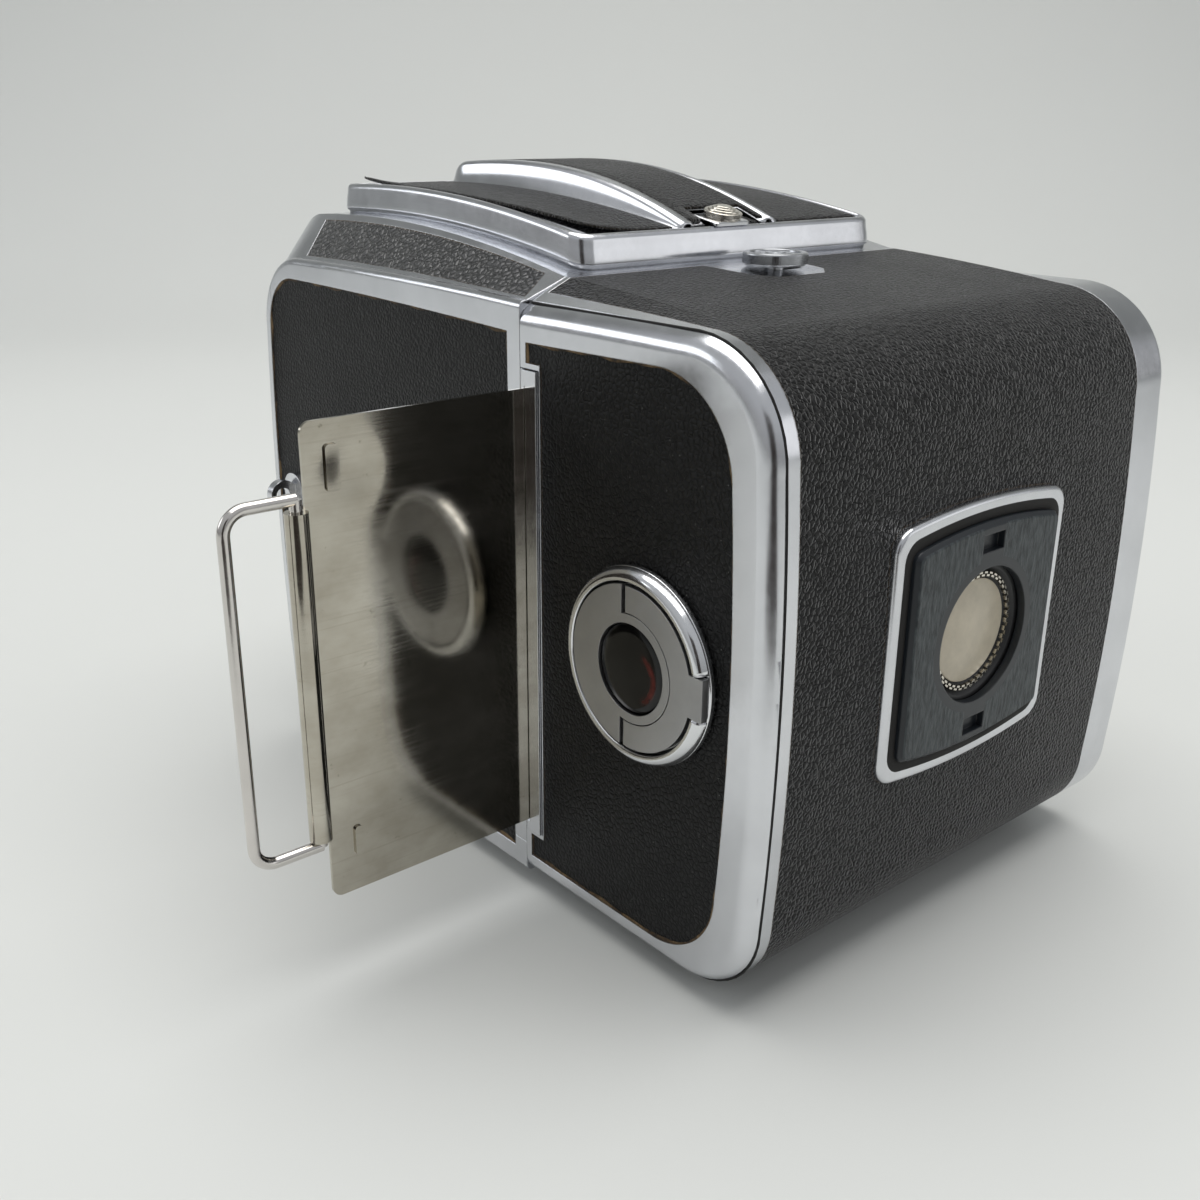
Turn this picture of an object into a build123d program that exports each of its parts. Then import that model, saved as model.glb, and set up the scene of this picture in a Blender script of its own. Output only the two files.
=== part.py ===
from build123d import *
import os
from math import asin, cos, degrees, radians, sin, sqrt

# Medium format single lens reflex camera body with folding hood, film magazine
# and half drawn dark slide. Millimetres. +X is the camera's own left, +Y is the
# rear, +Z is up. The origin is the mouth of the tripod socket.

# Fits and sheet sizes
gap = 0.15             # running clearance between parts that slide or turn
seat = 0.3             # clearance between soft or curved neighbours
leather = 0.6          # covering thickness
shaft_play = 0.05      # radial clearance of a shaft in its hole
far = 130.0            # beyond every surface, for cuts and columns

# Picture size and the heights and widths that follow from it
gate_half = 28.5       # half side of the square picture
base_z = 3.0           # underside of the castings above the table
optical_z = base_z + gate_half + 17.0
half_width = gate_half + 16.9      # to the outside of the bright edge trim

# Body outline, side view
shoulder_width = half_width - 1.4  # half width where the trim bead begins
deck_half = half_width - 8.4       # half width of the top deck
seam_y = 41.0          # rear face of the body
front_y = -37.7        # front face beside the corners
front_bulge = 1.4      # how far the front face swells at mid height
side_top_z = optical_z + 46.9      # top of the side walls
corner_top = 13.0      # radius of the side walls' upper front corner
deck_corner = 9.6      # radius of the deck's front corner
corner_low = 9.0       # radius of the lower front corner
wall = 3.4             # casting wall
trim_front = 2.2       # bright border round each covered side panel
trim_rear = 3.0
trim_top = 3.6
trim_low = 3.6
panel_fall = 1.3       # how much lower the panel's top edge lies at the rear
panel_sink = 0.3       # coverings lie this much below the trim
panel_face_x = half_width - panel_sink

# Arched deck and hood
arch_radius = 270.0
arch_top_z = side_top_z + 7.5
arch_top_y = -12.0
hood_half = deck_half - 3.5
hood_front_y = -28.0
hood_rear_y = 40.0
hood_height = 5.0      # rim height above the deck
hood_wall = 1.6
hood_corner = 3.0
hood_foot = 0.5        # height and setback of the rim's narrow foot
hood_edge = 0.5        # rounding of the rim's upper edge
lid_sheet = 1.0
lid_drop = 0.5         # covering level below the rim's top edge
lid_gap = 0.3
band_center_x = 1.0    # raised band in the middle of the lid
band_front_half = 12.2
band_rear_half = 9.6
band_front_y = -21.4
band_top_y = -6.0
band_top_z = arch_top_z + 8.9
band_radius = 151.0
band_corner = 5.0      # rounding of the band's front end
band_wall = 1.0
band_flare = 9.0       # degrees of draft on the band's walls
band_draw = 20.0       # length over which the draft is drawn
band_skirt = 1.6       # how far the band's foot stands outside its top plan
hinge_rod = 0.6
knuckle = 1.05

# Optics and reflex mechanism
chamber_half = half_width - 13.9
throat_radius = chamber_half - 1.5
mount_radius = throat_radius + 8.0
mount_front_y = -41.5
mount_rear_y = -34.6
mount_face = 3.0
mount_screw_circle = throat_radius + 4.2
mount_screw_radius = 1.3
mount_screw_count = 4
chamber_front_y = -34.4
chamber_rear_y = 36.6
chamber_low_z = base_z + 12.0
chamber_top_z = side_top_z - 6.6
mirror_pivot_y = 35.0
mirror_pivot_z = chamber_top_z - 2.8
mirror_length = 68.0
mirror_half = chamber_half - 2.5
mirror_glass = 1.4
mirror_plate = 1.2
mirror_start = 4.0
screen_z = side_top_z - 4.9
screen_thick = 1.6
frame_thick = 1.1
well_half = hood_half - 2.4       # opening in the deck
well_front_y = -24.6
well_rear_y = 37.8

# Focal plane shutter
shutter_plate = 1.2
drum_x = half_width - 8.2
drum_y = 34.9
drum_radius = 2.85
drum_low_z = optical_z - gate_half - 2.0
drum_top_z = optical_z + gate_half + 4.0
curtain = 0.3

# Film magazine
mag_gap = 0.1
rear_y = 91.4
rear_swell = 1.2
mag_top_z = side_top_z - 0.6
mag_corner_top = 15.5
mag_corner_low = 13.5
mag_crown_z = side_top_z + 2.3     # height of the magazine's front edge at the deck
mag_crown_y = 73.0     # where the crown has sunk to the side height
mag_wrap_left = half_width - 4.4   # covering ends here on the left
mag_wrap_right = half_width - 8.4
insert_face = half_width - 2.1     # inner face of the film insert's side plate
mag_bead = 3.0         # rounding of the side plate's outer edge
mag_trim_front = 1.2   # bright border of the magazine's side panels
mag_trim_rear = 6.8
mag_trim_top = 4.9
mag_trim_low = 3.6
mag_panel_top = 13.5   # corner radii of these panels
mag_panel_low = 12.5
insert_front_y = 45.3  # front edge of the film insert beside the slot
mag_front_wall_y = 46.5
mag_wall = 3.0
gate_plate = 0.8
gate_side = 4.5        # margin of the gate plate beside the picture
gate_margin = 1.5      # margin of the gate plate above and below the blade
slot_strip_x = half_width - 1.4    # inner face of the strip behind the slot
slot_strip_stand = 0.5
slot_strip_flare = 1.6
slot_strip_below = 2.0             # how far the strip reaches past the blade
slot_strip_above = 2.6
slot_border = 0.9      # bright border of the insert round the strip

# Magazine release
latch_x = 1.5
latch_y = 48.6
latch_radius = 5.1
latch_wall = 1.6
latch_height = 2.0
latch_stem = 1.5
latch_travel = 3.2
tongue_half = 9.0
tongue_reach = 13.4

# Dark slide
blade_thick = 0.5
blade_low_z = optical_z - gate_half - 6.4
blade_height = 2 * gate_half + 12.4
blade_out_x = half_width + 35.8
blade_in_x = -1.5
barrel_radius = 1.6
barrel_low_z = blade_low_z + 10.1
barrel_top_z = blade_low_z + blade_height - 11.5
wire_radius = 0.85
loop_reach = 10.05      # how far the wire loop stands out from the barrel's axis
loop_low_z = barrel_low_z - 1.0
loop_top_z = barrel_top_z + 1.7
loop_corner = 3.2

# Film insert key
key_y = 67.75
key_z = optical_z + 0.1
key_radius = 14.3
key_edge = 0.5         # rounding of the ring's outer edge
key_bore = 12.0
key_hub = 7.9
key_hub_x = half_width - 3.8       # inner end of the hollow hub
key_window = 6.6
key_face_x = half_width + 2.2
key_base = 0.7         # thickness of the ring's floor
key_leaf = 1.1
key_play = 0.3         # space under the folded leaf
key_slit_y = 65.85
key_slit = 0.45
tab_height = 6.0
tab_reach = 14.0

# Film insert frame
pressure_y = 50.0
pressure_thick = 2.5
insert_sheet = 1.5
insert_low_z = base_z + 17.0
insert_high_z = optical_z + 9.5
insert_floor_y = 80.0

# Spool and winding
spool_y = 73.5
spool_z = mag_top_z - 21.8
spool_flange = 12.6
spool_core = 5.2
spool_bore = 3.1
spool_length = 64.5
spool_right_x = insert_face - spool_length - 7.8
knob_y = -2.0
knob_z = optical_z + 3.5
knob_radius = 15.0
knob_height = 10.5
knob_flutes = 30
shaft_radius = 3.0
dial_radius = 18.0
dial_height = 3.6
film_knob_radius = 10.5
film_knob_height = 9.0
film_knob_flutes = 24
film_shaft = 2.5

# Film reminder on the back
reminder_x = 3.2
reminder_z = optical_z + 1.9
reminder_half = 19.9
reminder_bow = 1.6     # how far its upper and lower edges swell
reminder_corner = 3.5
reminder_stand = 2.2
holder_half = 16.8
holder_front = 1.2     # sheet in front of the disc
holder_floor = 0.8
dial_window = 10.2
dial_disc = 11.6
dial_notches = 40
sight_place = 13.9     # distance of the sight holes from the centre
reminder_floor_y = rear_y - 1.2

# Strap lugs and front buttons
lug_y = -30.0
lug_z = optical_z + 3.5
lug_base = 3.6
lug_eye = 2.7
button_radius = 3.6
button_stem = 1.8
button_cap = 3.0
button_stand = 3.2
release_x = -half_width + 10.9
release_z = base_z + 12.0
catch_x = half_width - 10.9
catch_z = base_z + 19.0

# Coupling gears at the seam
gear_module = 0.56
gear_teeth = 16
gear_z = base_z + 8.5
gear_x = -half_width + 8.9
gear_width = 2.4
gear_pin = 1.0
gear_backlash = 0.12
gear_pitch = gear_module * gear_teeth / 2 + gear_backlash / 2

# Hooks that hold the magazine
hook_x = 22.0
hook_width = 6.0
hook_reach = 3.0
hook_low_z = base_z + 4.2
hook_top_z = side_top_z - 3.8
hook_height = 1.8

# Foot
foot_half = 21.0
foot_front_y = -24.0
foot_rear_y = 38.0
socket_radius = 4.76
socket_wall = 2.6
socket_depth = 8.0
socket_end = 0.5       # closed end of the bush

os.makedirs("parts", exist_ok=True)


# Helpers

def yz_face(start, *steps):
    """Closed face in the side view. A step is one end point, or a mid point and an end point of an arc."""
    edges = []
    here = start
    for step in steps:
        if len(step) == 2 and isinstance(step[0], tuple):
            edges.append(ThreePointArc(here, step[0], step[1]))
            here = step[1]
        else:
            edges.append(Line(here, step))
            here = step
    edges.append(Line(here, start))
    return make_face(Plane.YZ * Curve(edges))


def span_x(face, x0, x1):
    """The side view face as a solid from x0 to x1."""
    return extrude(Pos(x0, 0, 0) * face, amount=x1 - x0, dir=(1, 0, 0))


def block(x0, x1, y0, y1, z0, z1):
    return Pos((x0 + x1) / 2, (y0 + y1) / 2, (z0 + z1) / 2) * Box(x1 - x0, y1 - y0, z1 - z0)


def rod_x(radius, x0, x1, y, z):
    return Pos((x0 + x1) / 2, y, z) * Rot(0, 90, 0) * Cylinder(radius, x1 - x0)


def rod_y(radius, y0, y1, x, z):
    return Pos(x, (y0 + y1) / 2, z) * Rot(90, 0, 0) * Cylinder(radius, y1 - y0)


def rod_z(radius, z0, z1, x, y):
    return Pos(x, y, (z0 + z1) / 2) * Cylinder(radius, z1 - z0)


def rounded_plan(x0, x1, y0, y1, z0, z1, radius):
    """Upright block with rounded vertical edges."""
    plan = Pos((x0 + x1) / 2, (y0 + y1) / 2, z0) * RectangleRounded(x1 - x0, y1 - y0, radius)
    return extrude(plan, amount=z1 - z0)


def rounded_front(x0, x1, z0, z1, y0, y1, radius):
    """Block with rounded edges along Y."""
    plane = Plane(origin=((x0 + x1) / 2, y0, (z0 + z1) / 2), x_dir=(1, 0, 0), z_dir=(0, 1, 0))
    return extrude(plane * RectangleRounded(x1 - x0, z1 - z0, radius), amount=y1 - y0)


def bowed_front(x, z, half, bow, y0, y1, radius):
    """Square block along Y whose upper and lower edges swell, with rounded corners."""
    corner = half - bow
    face = make_face(Curve([
        Line((-half, corner), (-half, -corner)),
        ThreePointArc((-half, -corner), (0, -half), (half, -corner)),
        Line((half, -corner), (half, corner)),
        ThreePointArc((half, corner), (0, half), (-half, corner)),
    ]))
    face = fillet(face.vertices(), radius)
    plane = Plane(origin=(x, y0, z), x_dir=(1, 0, 0), z_dir=(0, 1, 0))
    return extrude(plane * face, amount=y1 - y0)


def arc_z(y, top_y, top_z, radius):
    """Height of a shallow arch at y."""
    return top_z - radius + sqrt(radius ** 2 - (y - top_y) ** 2)


def deck_z(y):
    return arc_z(y, arch_top_y, arch_top_z, arch_radius)


def band_z(y):
    return arc_z(y, band_top_y, band_top_z, band_radius)


def bend(y, z, radius, side_y, side_z):
    """Mid point of a quarter arc about (y, z)."""
    return y + side_y * radius * cos(radians(45)), z + side_z * radius * sin(radians(45))


def skin(solid, dx, dy, dz):
    """What a solid loses when it is moved by (dx, dy, dz)."""
    return solid - Pos(dx, dy, dz) * solid


def flutes(radius, depth, count, x0, x1, y, z):
    """Grip grooves round a knob that turns about X."""
    grooves = Part()
    for i in range(count):
        angle = radians(360 * i / count)
        grooves += rod_x(depth, x0, x1, y + radius * cos(angle), z + radius * sin(angle))
    return grooves


def picture_gate(y0, y1):
    """Square opening of the picture."""
    return block(-gate_half, gate_half, y0, y1, optical_z - gate_half, optical_z + gate_half)


def save(shape, node):
    export_step(shape, "parts/" + node + ".step")


# Body castings

def body_outline(deck):
    """Side view of the body: with the arched deck, or at the lower side walls."""
    low = base_z + corner_low
    corner = deck_corner if deck else corner_top
    high_front = deck_z(front_y + corner) if deck else side_top_z
    mid_y = (front_y + corner + seam_y) / 2
    mid_top = deck_z(mid_y) if deck else side_top_z + 0.3
    rear_top = deck_z(seam_y) if deck else side_top_z - 0.4
    high = high_front - corner
    return yz_face(
        (seam_y, base_z),
        (front_y + corner_low, base_z),
        (bend(front_y + corner_low, low, corner_low, -1, -1), (front_y, low)),
        ((front_y - front_bulge, (low + high) / 2), (front_y, high)),
        (bend(front_y + corner, high, corner, -1, 1), (front_y + corner, high_front)),
        ((mid_y, mid_top), (seam_y, rear_top)),
    )


def panel_outline():
    """Side view of a side wall's covering, inside its bright border."""
    low = base_z + trim_low
    high = side_top_z - trim_top
    front = front_y + trim_front
    rear = seam_y - trim_rear
    r_low = corner_low - trim_low
    r_high = corner_top - trim_top
    mid_y = (front + r_high + rear) / 2
    return yz_face(
        (rear, low),
        (front + r_low, low),
        (bend(front + r_low, low + r_low, r_low, -1, -1), (front, low + r_low)),
        ((front - front_bulge, (low + high) / 2), (front, high - r_high)),
        (bend(front + r_high, high - r_high, r_high, -1, 1), (front + r_high, high)),
        ((mid_y, high - panel_fall / 2 + 0.3), (rear, high - panel_fall)),
    )


def trimmed_edge(face, x0, x1, radius, limit_y, below):
    """Bright bead along an outline, rounded outside but square at the seam."""
    bead = span_x(face, x0, x1)
    outer = bead.faces().sort_by(Axis.X)[-1]
    edges = [e for e in outer.edges() if (e.center().Y < limit_y) == below]
    return fillet(edges, radius)


def body_solid():
    deck = body_outline(True)
    side = body_outline(False)
    left = loft([Pos(deck_half, 0, 0) * deck, Pos(shoulder_width, 0, 0) * side], ruled=True)
    bead = trimmed_edge(side, shoulder_width, half_width, 1.1, seam_y - 0.01, True)
    half = left + bead
    return span_x(deck, -deck_half, deck_half) + half + mirror(half, Plane.YZ)


def side_panel(extra=0.0):
    """Covering of the body's left side, sunk into the trim, or its recess with extra height."""
    return span_x(panel_outline(), panel_face_x - leather, panel_face_x + extra)


def shoulder_strip(solid):
    """Covering strip on the left shoulder below the hood."""
    plan = make_face(Polyline(
        (deck_half + 0.9, hood_front_y + 2.4),
        (shoulder_width - 0.5, hood_front_y + 5.0),
        (shoulder_width - 0.5, seam_y + 0.6 - 1.8),
        (deck_half + 0.9, seam_y - 3.6),
        close=True))
    column = extrude(Pos(0, 0, optical_z) * plan, amount=far)
    return skin(solid, 0, 0, -leather) & column


def front_covering(solid):
    """Covering of the front face round the lens mount."""
    half = half_width - 3.9
    panel = rounded_front(-half, half, base_z + 6.5, side_top_z - 7.9, front_y - 4, front_y + 4, 6)
    panel -= rod_y(mount_radius + 0.8, front_y - 5, front_y + 5, 0, optical_z)
    return skin(solid, 0, leather, 0) & panel


floor_top_z = socket_depth + socket_end


def front_and_floor_space():
    """Space of the front plate and the floor plate, which are castings of their own."""
    front = block(-far, far, -far, chamber_front_y, -far, far)
    return front + block(-far, far, chamber_front_y, far, -far, floor_top_z)


def body_shell(solid, coverings):
    """Hollow casting: mirror chamber, deck well, shutter recess and two side bays."""
    shell = solid
    shell -= block(-chamber_half, chamber_half, chamber_front_y, chamber_rear_y, chamber_low_z, chamber_top_z)
    opening = chamber_half - 2.5
    shell -= block(-opening, opening, well_front_y + 1.5, well_rear_y - 4.5, chamber_top_z - 1, screen_z)
    shell -= block(-well_half, well_half, well_front_y, well_rear_y, screen_z, arch_top_z + 1)
    shell -= picture_gate(chamber_rear_y - 1, seam_y)
    well_x = drum_x + drum_radius + 1
    shell -= block(-well_x, well_x, drum_y + drum_radius, seam_y, drum_low_z - 1, drum_top_z + 1)
    for side in (-1, 1):
        x0, x1 = sorted((side * (chamber_half + 1.5), side * well_x))
        shell -= block(x0, x1, drum_y - drum_radius - 1, seam_y - 1, drum_low_z, drum_top_z)
        bay_end = half_width - wall - 1.0
        x0, x1 = sorted((side * (chamber_half + 1.8), side * bay_end))
        shell -= block(x0, x1, chamber_front_y, drum_y - drum_radius - 3, floor_top_z, side_top_z - 6)
    shell -= rod_y(mount_radius + shaft_play, front_y - 9, mount_front_y + mount_face, 0, optical_z)
    shell -= rod_y(throat_radius + 2.5, front_y - 9, chamber_front_y + 1, 0, optical_z)
    shell -= gear_pocket(seam_y - gear_pitch)
    shell += gear_axle(seam_y - gear_pitch)
    shell -= rod_z(socket_radius + socket_wall, base_z - 1, socket_depth + socket_end, 0, 0)
    for covering in coverings:
        shell -= covering
    return shell


def mount_ring():
    """Lens mount: flange, guiding sleeve and three bayonet gaps."""
    flange_rear = mount_front_y + mount_face
    ring = rod_y(mount_radius, mount_front_y, flange_rear, 0, optical_z)
    ring += rod_y(throat_radius + 2.5, flange_rear, mount_rear_y, 0, optical_z)
    ring -= rod_y(throat_radius, mount_front_y - 1, mount_rear_y + 1, 0, optical_z)
    for x, z in mount_screw_places():
        ring -= rod_y(mount_screw_radius, mount_front_y - 1, flange_rear - 1, x, z)
    outer = ring.edges().filter_by(GeomType.CIRCLE).group_by(Axis.Y)[0].sort_by(SortBy.RADIUS)[-1]
    return chamfer(outer, 0.8)


def mount_screw_places():
    places = []
    for i in range(mount_screw_count):
        angle = radians(45 + 360 * i / mount_screw_count)
        places.append((mount_screw_circle * cos(angle), optical_z + mount_screw_circle * sin(angle)))
    return places


def mount_screws():
    screws = Part()
    head_rear = mount_front_y + mount_face - 1
    for x, z in mount_screw_places():
        screw = rod_y(mount_screw_radius, mount_front_y, head_rear, x, z)
        screw -= block(x - 2, x + 2, mount_front_y - 1, mount_front_y + 0.4, z - 0.2, z + 0.2)
        screws += screw
    return screws


# Reflex mirror, focusing screen and shutter

def mirror_slab(x_half, start, end, low, high):
    """Plate along the mirror, from start to end below the pivot."""
    down = (0, -cos(radians(45)), -sin(radians(45)))
    up = (0, -sin(radians(45)), cos(radians(45)))
    middle = Vector(0, mirror_pivot_y, mirror_pivot_z) + Vector(down) * ((start + end) / 2)
    middle += Vector(up) * ((low + high) / 2)
    plane = Plane(origin=middle, x_dir=(1, 0, 0), z_dir=up)
    return plane * Box(2 * x_half, end - start, high - low)


def mirror_frame():
    plate = mirror_slab(mirror_half + 0.8, 0, mirror_length, -mirror_plate / 2, mirror_plate / 2)
    plate += rod_x(mirror_plate, -mirror_half - 0.8, mirror_half + 0.8, mirror_pivot_y, mirror_pivot_z)
    lip = mirror_slab(mirror_half + 0.8, mirror_length - 1.2, mirror_length, 0, mirror_plate / 2 + mirror_glass)
    bore = rod_x(hinge_rod + shaft_play, -mirror_half - 2, mirror_half + 2, mirror_pivot_y, mirror_pivot_z)
    return plate + lip - bore


def mirror_glass_plate():
    low = mirror_plate / 2
    return mirror_slab(mirror_half, mirror_start, mirror_length - 1.2, low, low + mirror_glass)


def focusing_screen():
    return block(-well_half, well_half, well_front_y, well_rear_y, screen_z, screen_z + screen_thick)


def screen_frame():
    low = screen_z + screen_thick
    frame = block(-well_half, well_half, well_front_y, well_rear_y, low, low + frame_thick)
    inner = well_half - 2.1
    frame -= block(-inner, inner, well_front_y + 2, well_rear_y - 2, low - 1, low + frame_thick + 1)
    return frame


def shutter_frame():
    """Rear plate with the picture opening."""
    side = drum_x + drum_radius + 1
    plate = block(-side, side, seam_y - shutter_plate, seam_y, drum_low_z - 1, drum_top_z + 1)
    return plate - picture_gate(seam_y - 3, seam_y + 1)


def shutter_curtain():
    """Foil between the two drums."""
    y0 = drum_y + drum_radius + seat / 2
    return block(-drum_x, drum_x, y0, y0 + curtain, drum_low_z + 0.6, drum_top_z - 0.6)


def curtain_drum(x):
    return rod_z(drum_radius, drum_low_z + gap, drum_top_z - gap, x, drum_y)


# Outside parts of the body

def tripod_foot():
    foot = rounded_plan(-foot_half, foot_half, foot_front_y, foot_rear_y, 0, base_z, 5)
    foot = chamfer(foot.faces().sort_by(Axis.Z)[0].edges(), 0.6)
    foot -= rod_z(socket_radius + socket_wall, -1, base_z + 1, 0, 0)
    for x, y in foot_screw_places():
        foot -= rod_z(2.2, -1, 1.6, x, y)
    return foot


def foot_screw_places():
    return [(x, y) for x in (-foot_half + 5, foot_half - 5) for y in (foot_front_y + 6, foot_rear_y - 6)]


def foot_screws():
    screws = Part()
    for x, y in foot_screw_places():
        screw = rod_z(2.2, 0.5, 1.6, x, y)
        screw -= block(x - 3, x + 3, y - 0.3, y + 0.3, 0, 1.0)
        screws += screw
    return screws


def tripod_socket():
    bush = rod_z(socket_radius + socket_wall, 0, socket_depth + socket_end, 0, 0)
    return bush - rod_z(socket_radius, -1, socket_depth, 0, 0)


def strap_lugs():
    """Two riveted lugs with an eye for the strap clip."""
    base = panel_face_x + 1.0
    eye_x = base + lug_eye - 0.4
    half = lug_eye / 3
    lug = rod_x(lug_base, panel_face_x, base, lug_y, lug_z)
    lug += rod_y(lug_eye, lug_y - half, lug_y + half, eye_x, lug_z)
    lug += block(base, eye_x, lug_y - half, lug_y + half, lug_z - lug_eye + 1, lug_z + lug_eye - 1)
    lug -= rod_y(lug_eye / 2, lug_y - lug_eye, lug_y + lug_eye, eye_x + 0.3, lug_z)
    return lug + mirror(lug, Plane.YZ)


def speed_dial():
    """Flat ring under the winding knob, with a milled edge."""
    x1 = -half_width - gap
    x0 = x1 - dial_height
    dial = rod_x(dial_radius, x0, x1, knob_y, knob_z)
    dial -= rod_x(shaft_radius + shaft_play, x0 - 1, x1 + 1, knob_y, knob_z)
    outer = dial.edges().filter_by(GeomType.CIRCLE).group_by(Axis.X)[0].sort_by(SortBy.RADIUS)[-1]
    dial = chamfer(outer, 1.2)
    return dial - flutes(dial_radius + 0.5, 1.0, 36, x1 - 2.4, x1 + 1, knob_y, knob_z)


def winding_knob():
    """Fluted knob with a dished face, on its own shaft."""
    x1 = -half_width - dial_height - 2 * gap
    x0 = x1 - knob_height
    knob = rod_x(knob_radius, x0, x1, knob_y, knob_z)
    outer = knob.edges().filter_by(GeomType.CIRCLE).group_by(Axis.X)[0]
    knob = fillet(outer, 1.2)
    knob -= flutes(knob_radius + 0.5, 1.15, knob_flutes, x0 + 2.2, x1 + 1, knob_y, knob_z)
    knob -= rod_x(knob_radius - 3.5, x0 - 1, x0 + 0.8, knob_y, knob_z)
    return knob + rod_x(shaft_radius, x0 + 0.8, -half_width + wall + 1, knob_y, knob_z)


def front_button(x, z):
    """Push button on the front, with its guide stem."""
    y0 = front_y - button_stand
    cap = rod_y(button_radius, y0, y0 + button_cap, x, z)
    cap = fillet(cap.edges().filter_by(GeomType.CIRCLE).group_by(Axis.Y)[0], 0.8)
    return cap + rod_y(button_stem, y0 + button_cap, front_y + 8, x, z)


# Hood

def arch_slab(y0, y1, rise0, rise1, x_half=far):
    """Layer that follows the deck's arch between two heights above it."""
    mid = (y0 + y1) / 2
    face = yz_face(
        (y0, deck_z(y0) + rise0),
        ((mid, deck_z(mid) + rise0), (y1, deck_z(y1) + rise0)),
        (y1, deck_z(y1) + rise1),
        ((mid, deck_z(mid) + rise1), (y0, deck_z(y0) + rise1)),
    )
    return span_x(face, -x_half, x_half)


def hood_base():
    """Arched rim that stands on the deck."""
    outer = rounded_plan(-hood_half, hood_half, hood_front_y, hood_rear_y, 0, far, hood_corner)
    rim = arch_slab(hood_front_y - 2, hood_rear_y + 0.9, hood_foot, hood_height) & outer
    rim = fillet(rim.faces().sort_by(Axis.Z)[-1].outer_wire().edges(), hood_edge)
    foot_half_x = hood_half - hood_foot
    foot = rounded_plan(-foot_half_x, foot_half_x, hood_front_y + hood_foot, hood_rear_y - hood_foot,
                        0, far, hood_corner - hood_foot)
    rim += arch_slab(hood_front_y - 2, hood_rear_y + 0.9, 0, hood_foot + 0.01) & foot
    inner_half = hood_half - hood_wall
    return rim - block(-inner_half, inner_half, hood_front_y + hood_wall, hood_rear_y - hood_wall, 0, far)


lid_half = hood_half - hood_wall - lid_gap
lid_rear_y = hood_rear_y - hood_wall - lid_gap
lid_pivot_y = hood_front_y + hood_wall + 1.5
lid_pivot_z = deck_z(lid_pivot_y) + hood_height - 1.1
lid_low = hood_height - lid_drop - lid_sheet
button_x = band_center_x
button_y = hood_rear_y - 3.6
tab_half = 4.4
tab_front = 2.8
tab_thick = 0.9
button_steps = (3.1, 2.5, 1.9, 1.3)
button_rise = 1.7
hood_travel = 2.5


def band_plan(inset, rear_y):
    """Tapered plan of the raised band."""
    front = band_front_half - inset
    rear = band_rear_half - inset
    return make_face(Polyline(
        (band_center_x - front, band_front_y + inset),
        (band_center_x + front, band_front_y + inset),
        (band_center_x + rear, rear_y),
        (band_center_x - rear, rear_y),
        close=True))


def band_solid(inset, low_rise):
    """Raised band of the lid, or its hollow when inset."""
    z0 = deck_z(lid_rear_y) + low_rise
    plan = Pos(0, 0, z0) * band_plan(inset - band_skirt, lid_rear_y - inset)
    column = extrude(plan, amount=band_draw, taper=band_flare)
    corner = band_corner - inset
    front = band_front_y + inset - band_skirt
    top = band_z(front + corner) - inset
    mid = (front + corner + lid_rear_y) / 2
    face = yz_face(
        (lid_rear_y, 0),
        (front, 0),
        (front, top - corner),
        (bend(front + corner, top - corner, corner, -1, 1), (front + corner, top)),
        ((mid, band_z(mid) - inset), (lid_rear_y, band_z(lid_rear_y) - inset)),
    )
    return column & span_x(face, -far, far)


def lid_clearance():
    """Cut-out of the lid for the hood button's travel."""
    x0 = button_x - tab_half - hood_travel - gap
    return block(x0, button_x + tab_half + 1.2, button_y - tab_front - 0.8, far, 0, far)


def hood_lid():
    """Pressed lid: arched wings, hollow raised band and a front hinge barrel."""
    sheet = arch_slab(lid_pivot_y, lid_rear_y, lid_low, lid_low + lid_sheet, lid_half)
    above = arch_slab(band_front_y - 6, lid_rear_y + 1, lid_low, far)
    lid = sheet + (band_solid(0, lid_low) & above)
    lid -= band_solid(band_wall, lid_low - 6)
    lid += rod_x(knuckle, -lid_half, lid_half, lid_pivot_y, lid_pivot_z)
    for side in (-1, 1):
        x = band_center_x + side * (band_front_half - 3.4)
        top = band_z(magnifier_y) - 0.5
        lid += block(x - 0.6, x + 0.6, magnifier_y - 1.6, magnifier_y + 1.6, magnifier_z - 1.4, top)
    lid -= rod_x(hinge_rod + shaft_play, -lid_half - 1, lid_half + 1, lid_pivot_y, lid_pivot_z)
    lid -= hinge_pin(magnifier_pin_half, magnifier_y, magnifier_z, band_center_x)
    return lid - band_covering() - lid_clearance()


def lid_wing_covering(side):
    """Covering of one lid wing beside the band."""
    low = lid_low + lid_sheet
    inner = band_front_half + 1.9
    x0, x1 = sorted((band_center_x + side * inner, side * (lid_half - 0.4)))
    wing = arch_slab(lid_pivot_y + 1.6, lid_rear_y - 0.4, low, low + lid_drop)
    plan = block(x0, x1, lid_pivot_y, lid_rear_y, 0, far)
    plan += extrude(make_face(Polyline(
        (band_center_x + side * inner, band_front_y + 8),
        (band_center_x + side * inner, lid_rear_y),
        (band_center_x + side * (band_rear_half + 2.2), lid_rear_y),
        close=True)), amount=far)
    return wing & plan


def band_covering():
    """Covering on top of the raised band."""
    column = extrude(band_plan(3.0, lid_rear_y - 1.2), amount=far)
    column &= block(-far, far, band_front_y + 7, far, 0, far)
    top = skin(band_solid(0, lid_low), 0, 0, -lid_drop)
    return (top & column) - lid_clearance()


# Magnifier under the lid and the folded light flaps

magnifier_y = 14.0
magnifier_z = band_top_z - 4.2
magnifier_arm = 24.0
magnifier_half = 8.6
magnifier_thick = 1.8
magnifier_pin_half = band_front_half - 2.8
lens_radius = 7.4


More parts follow.
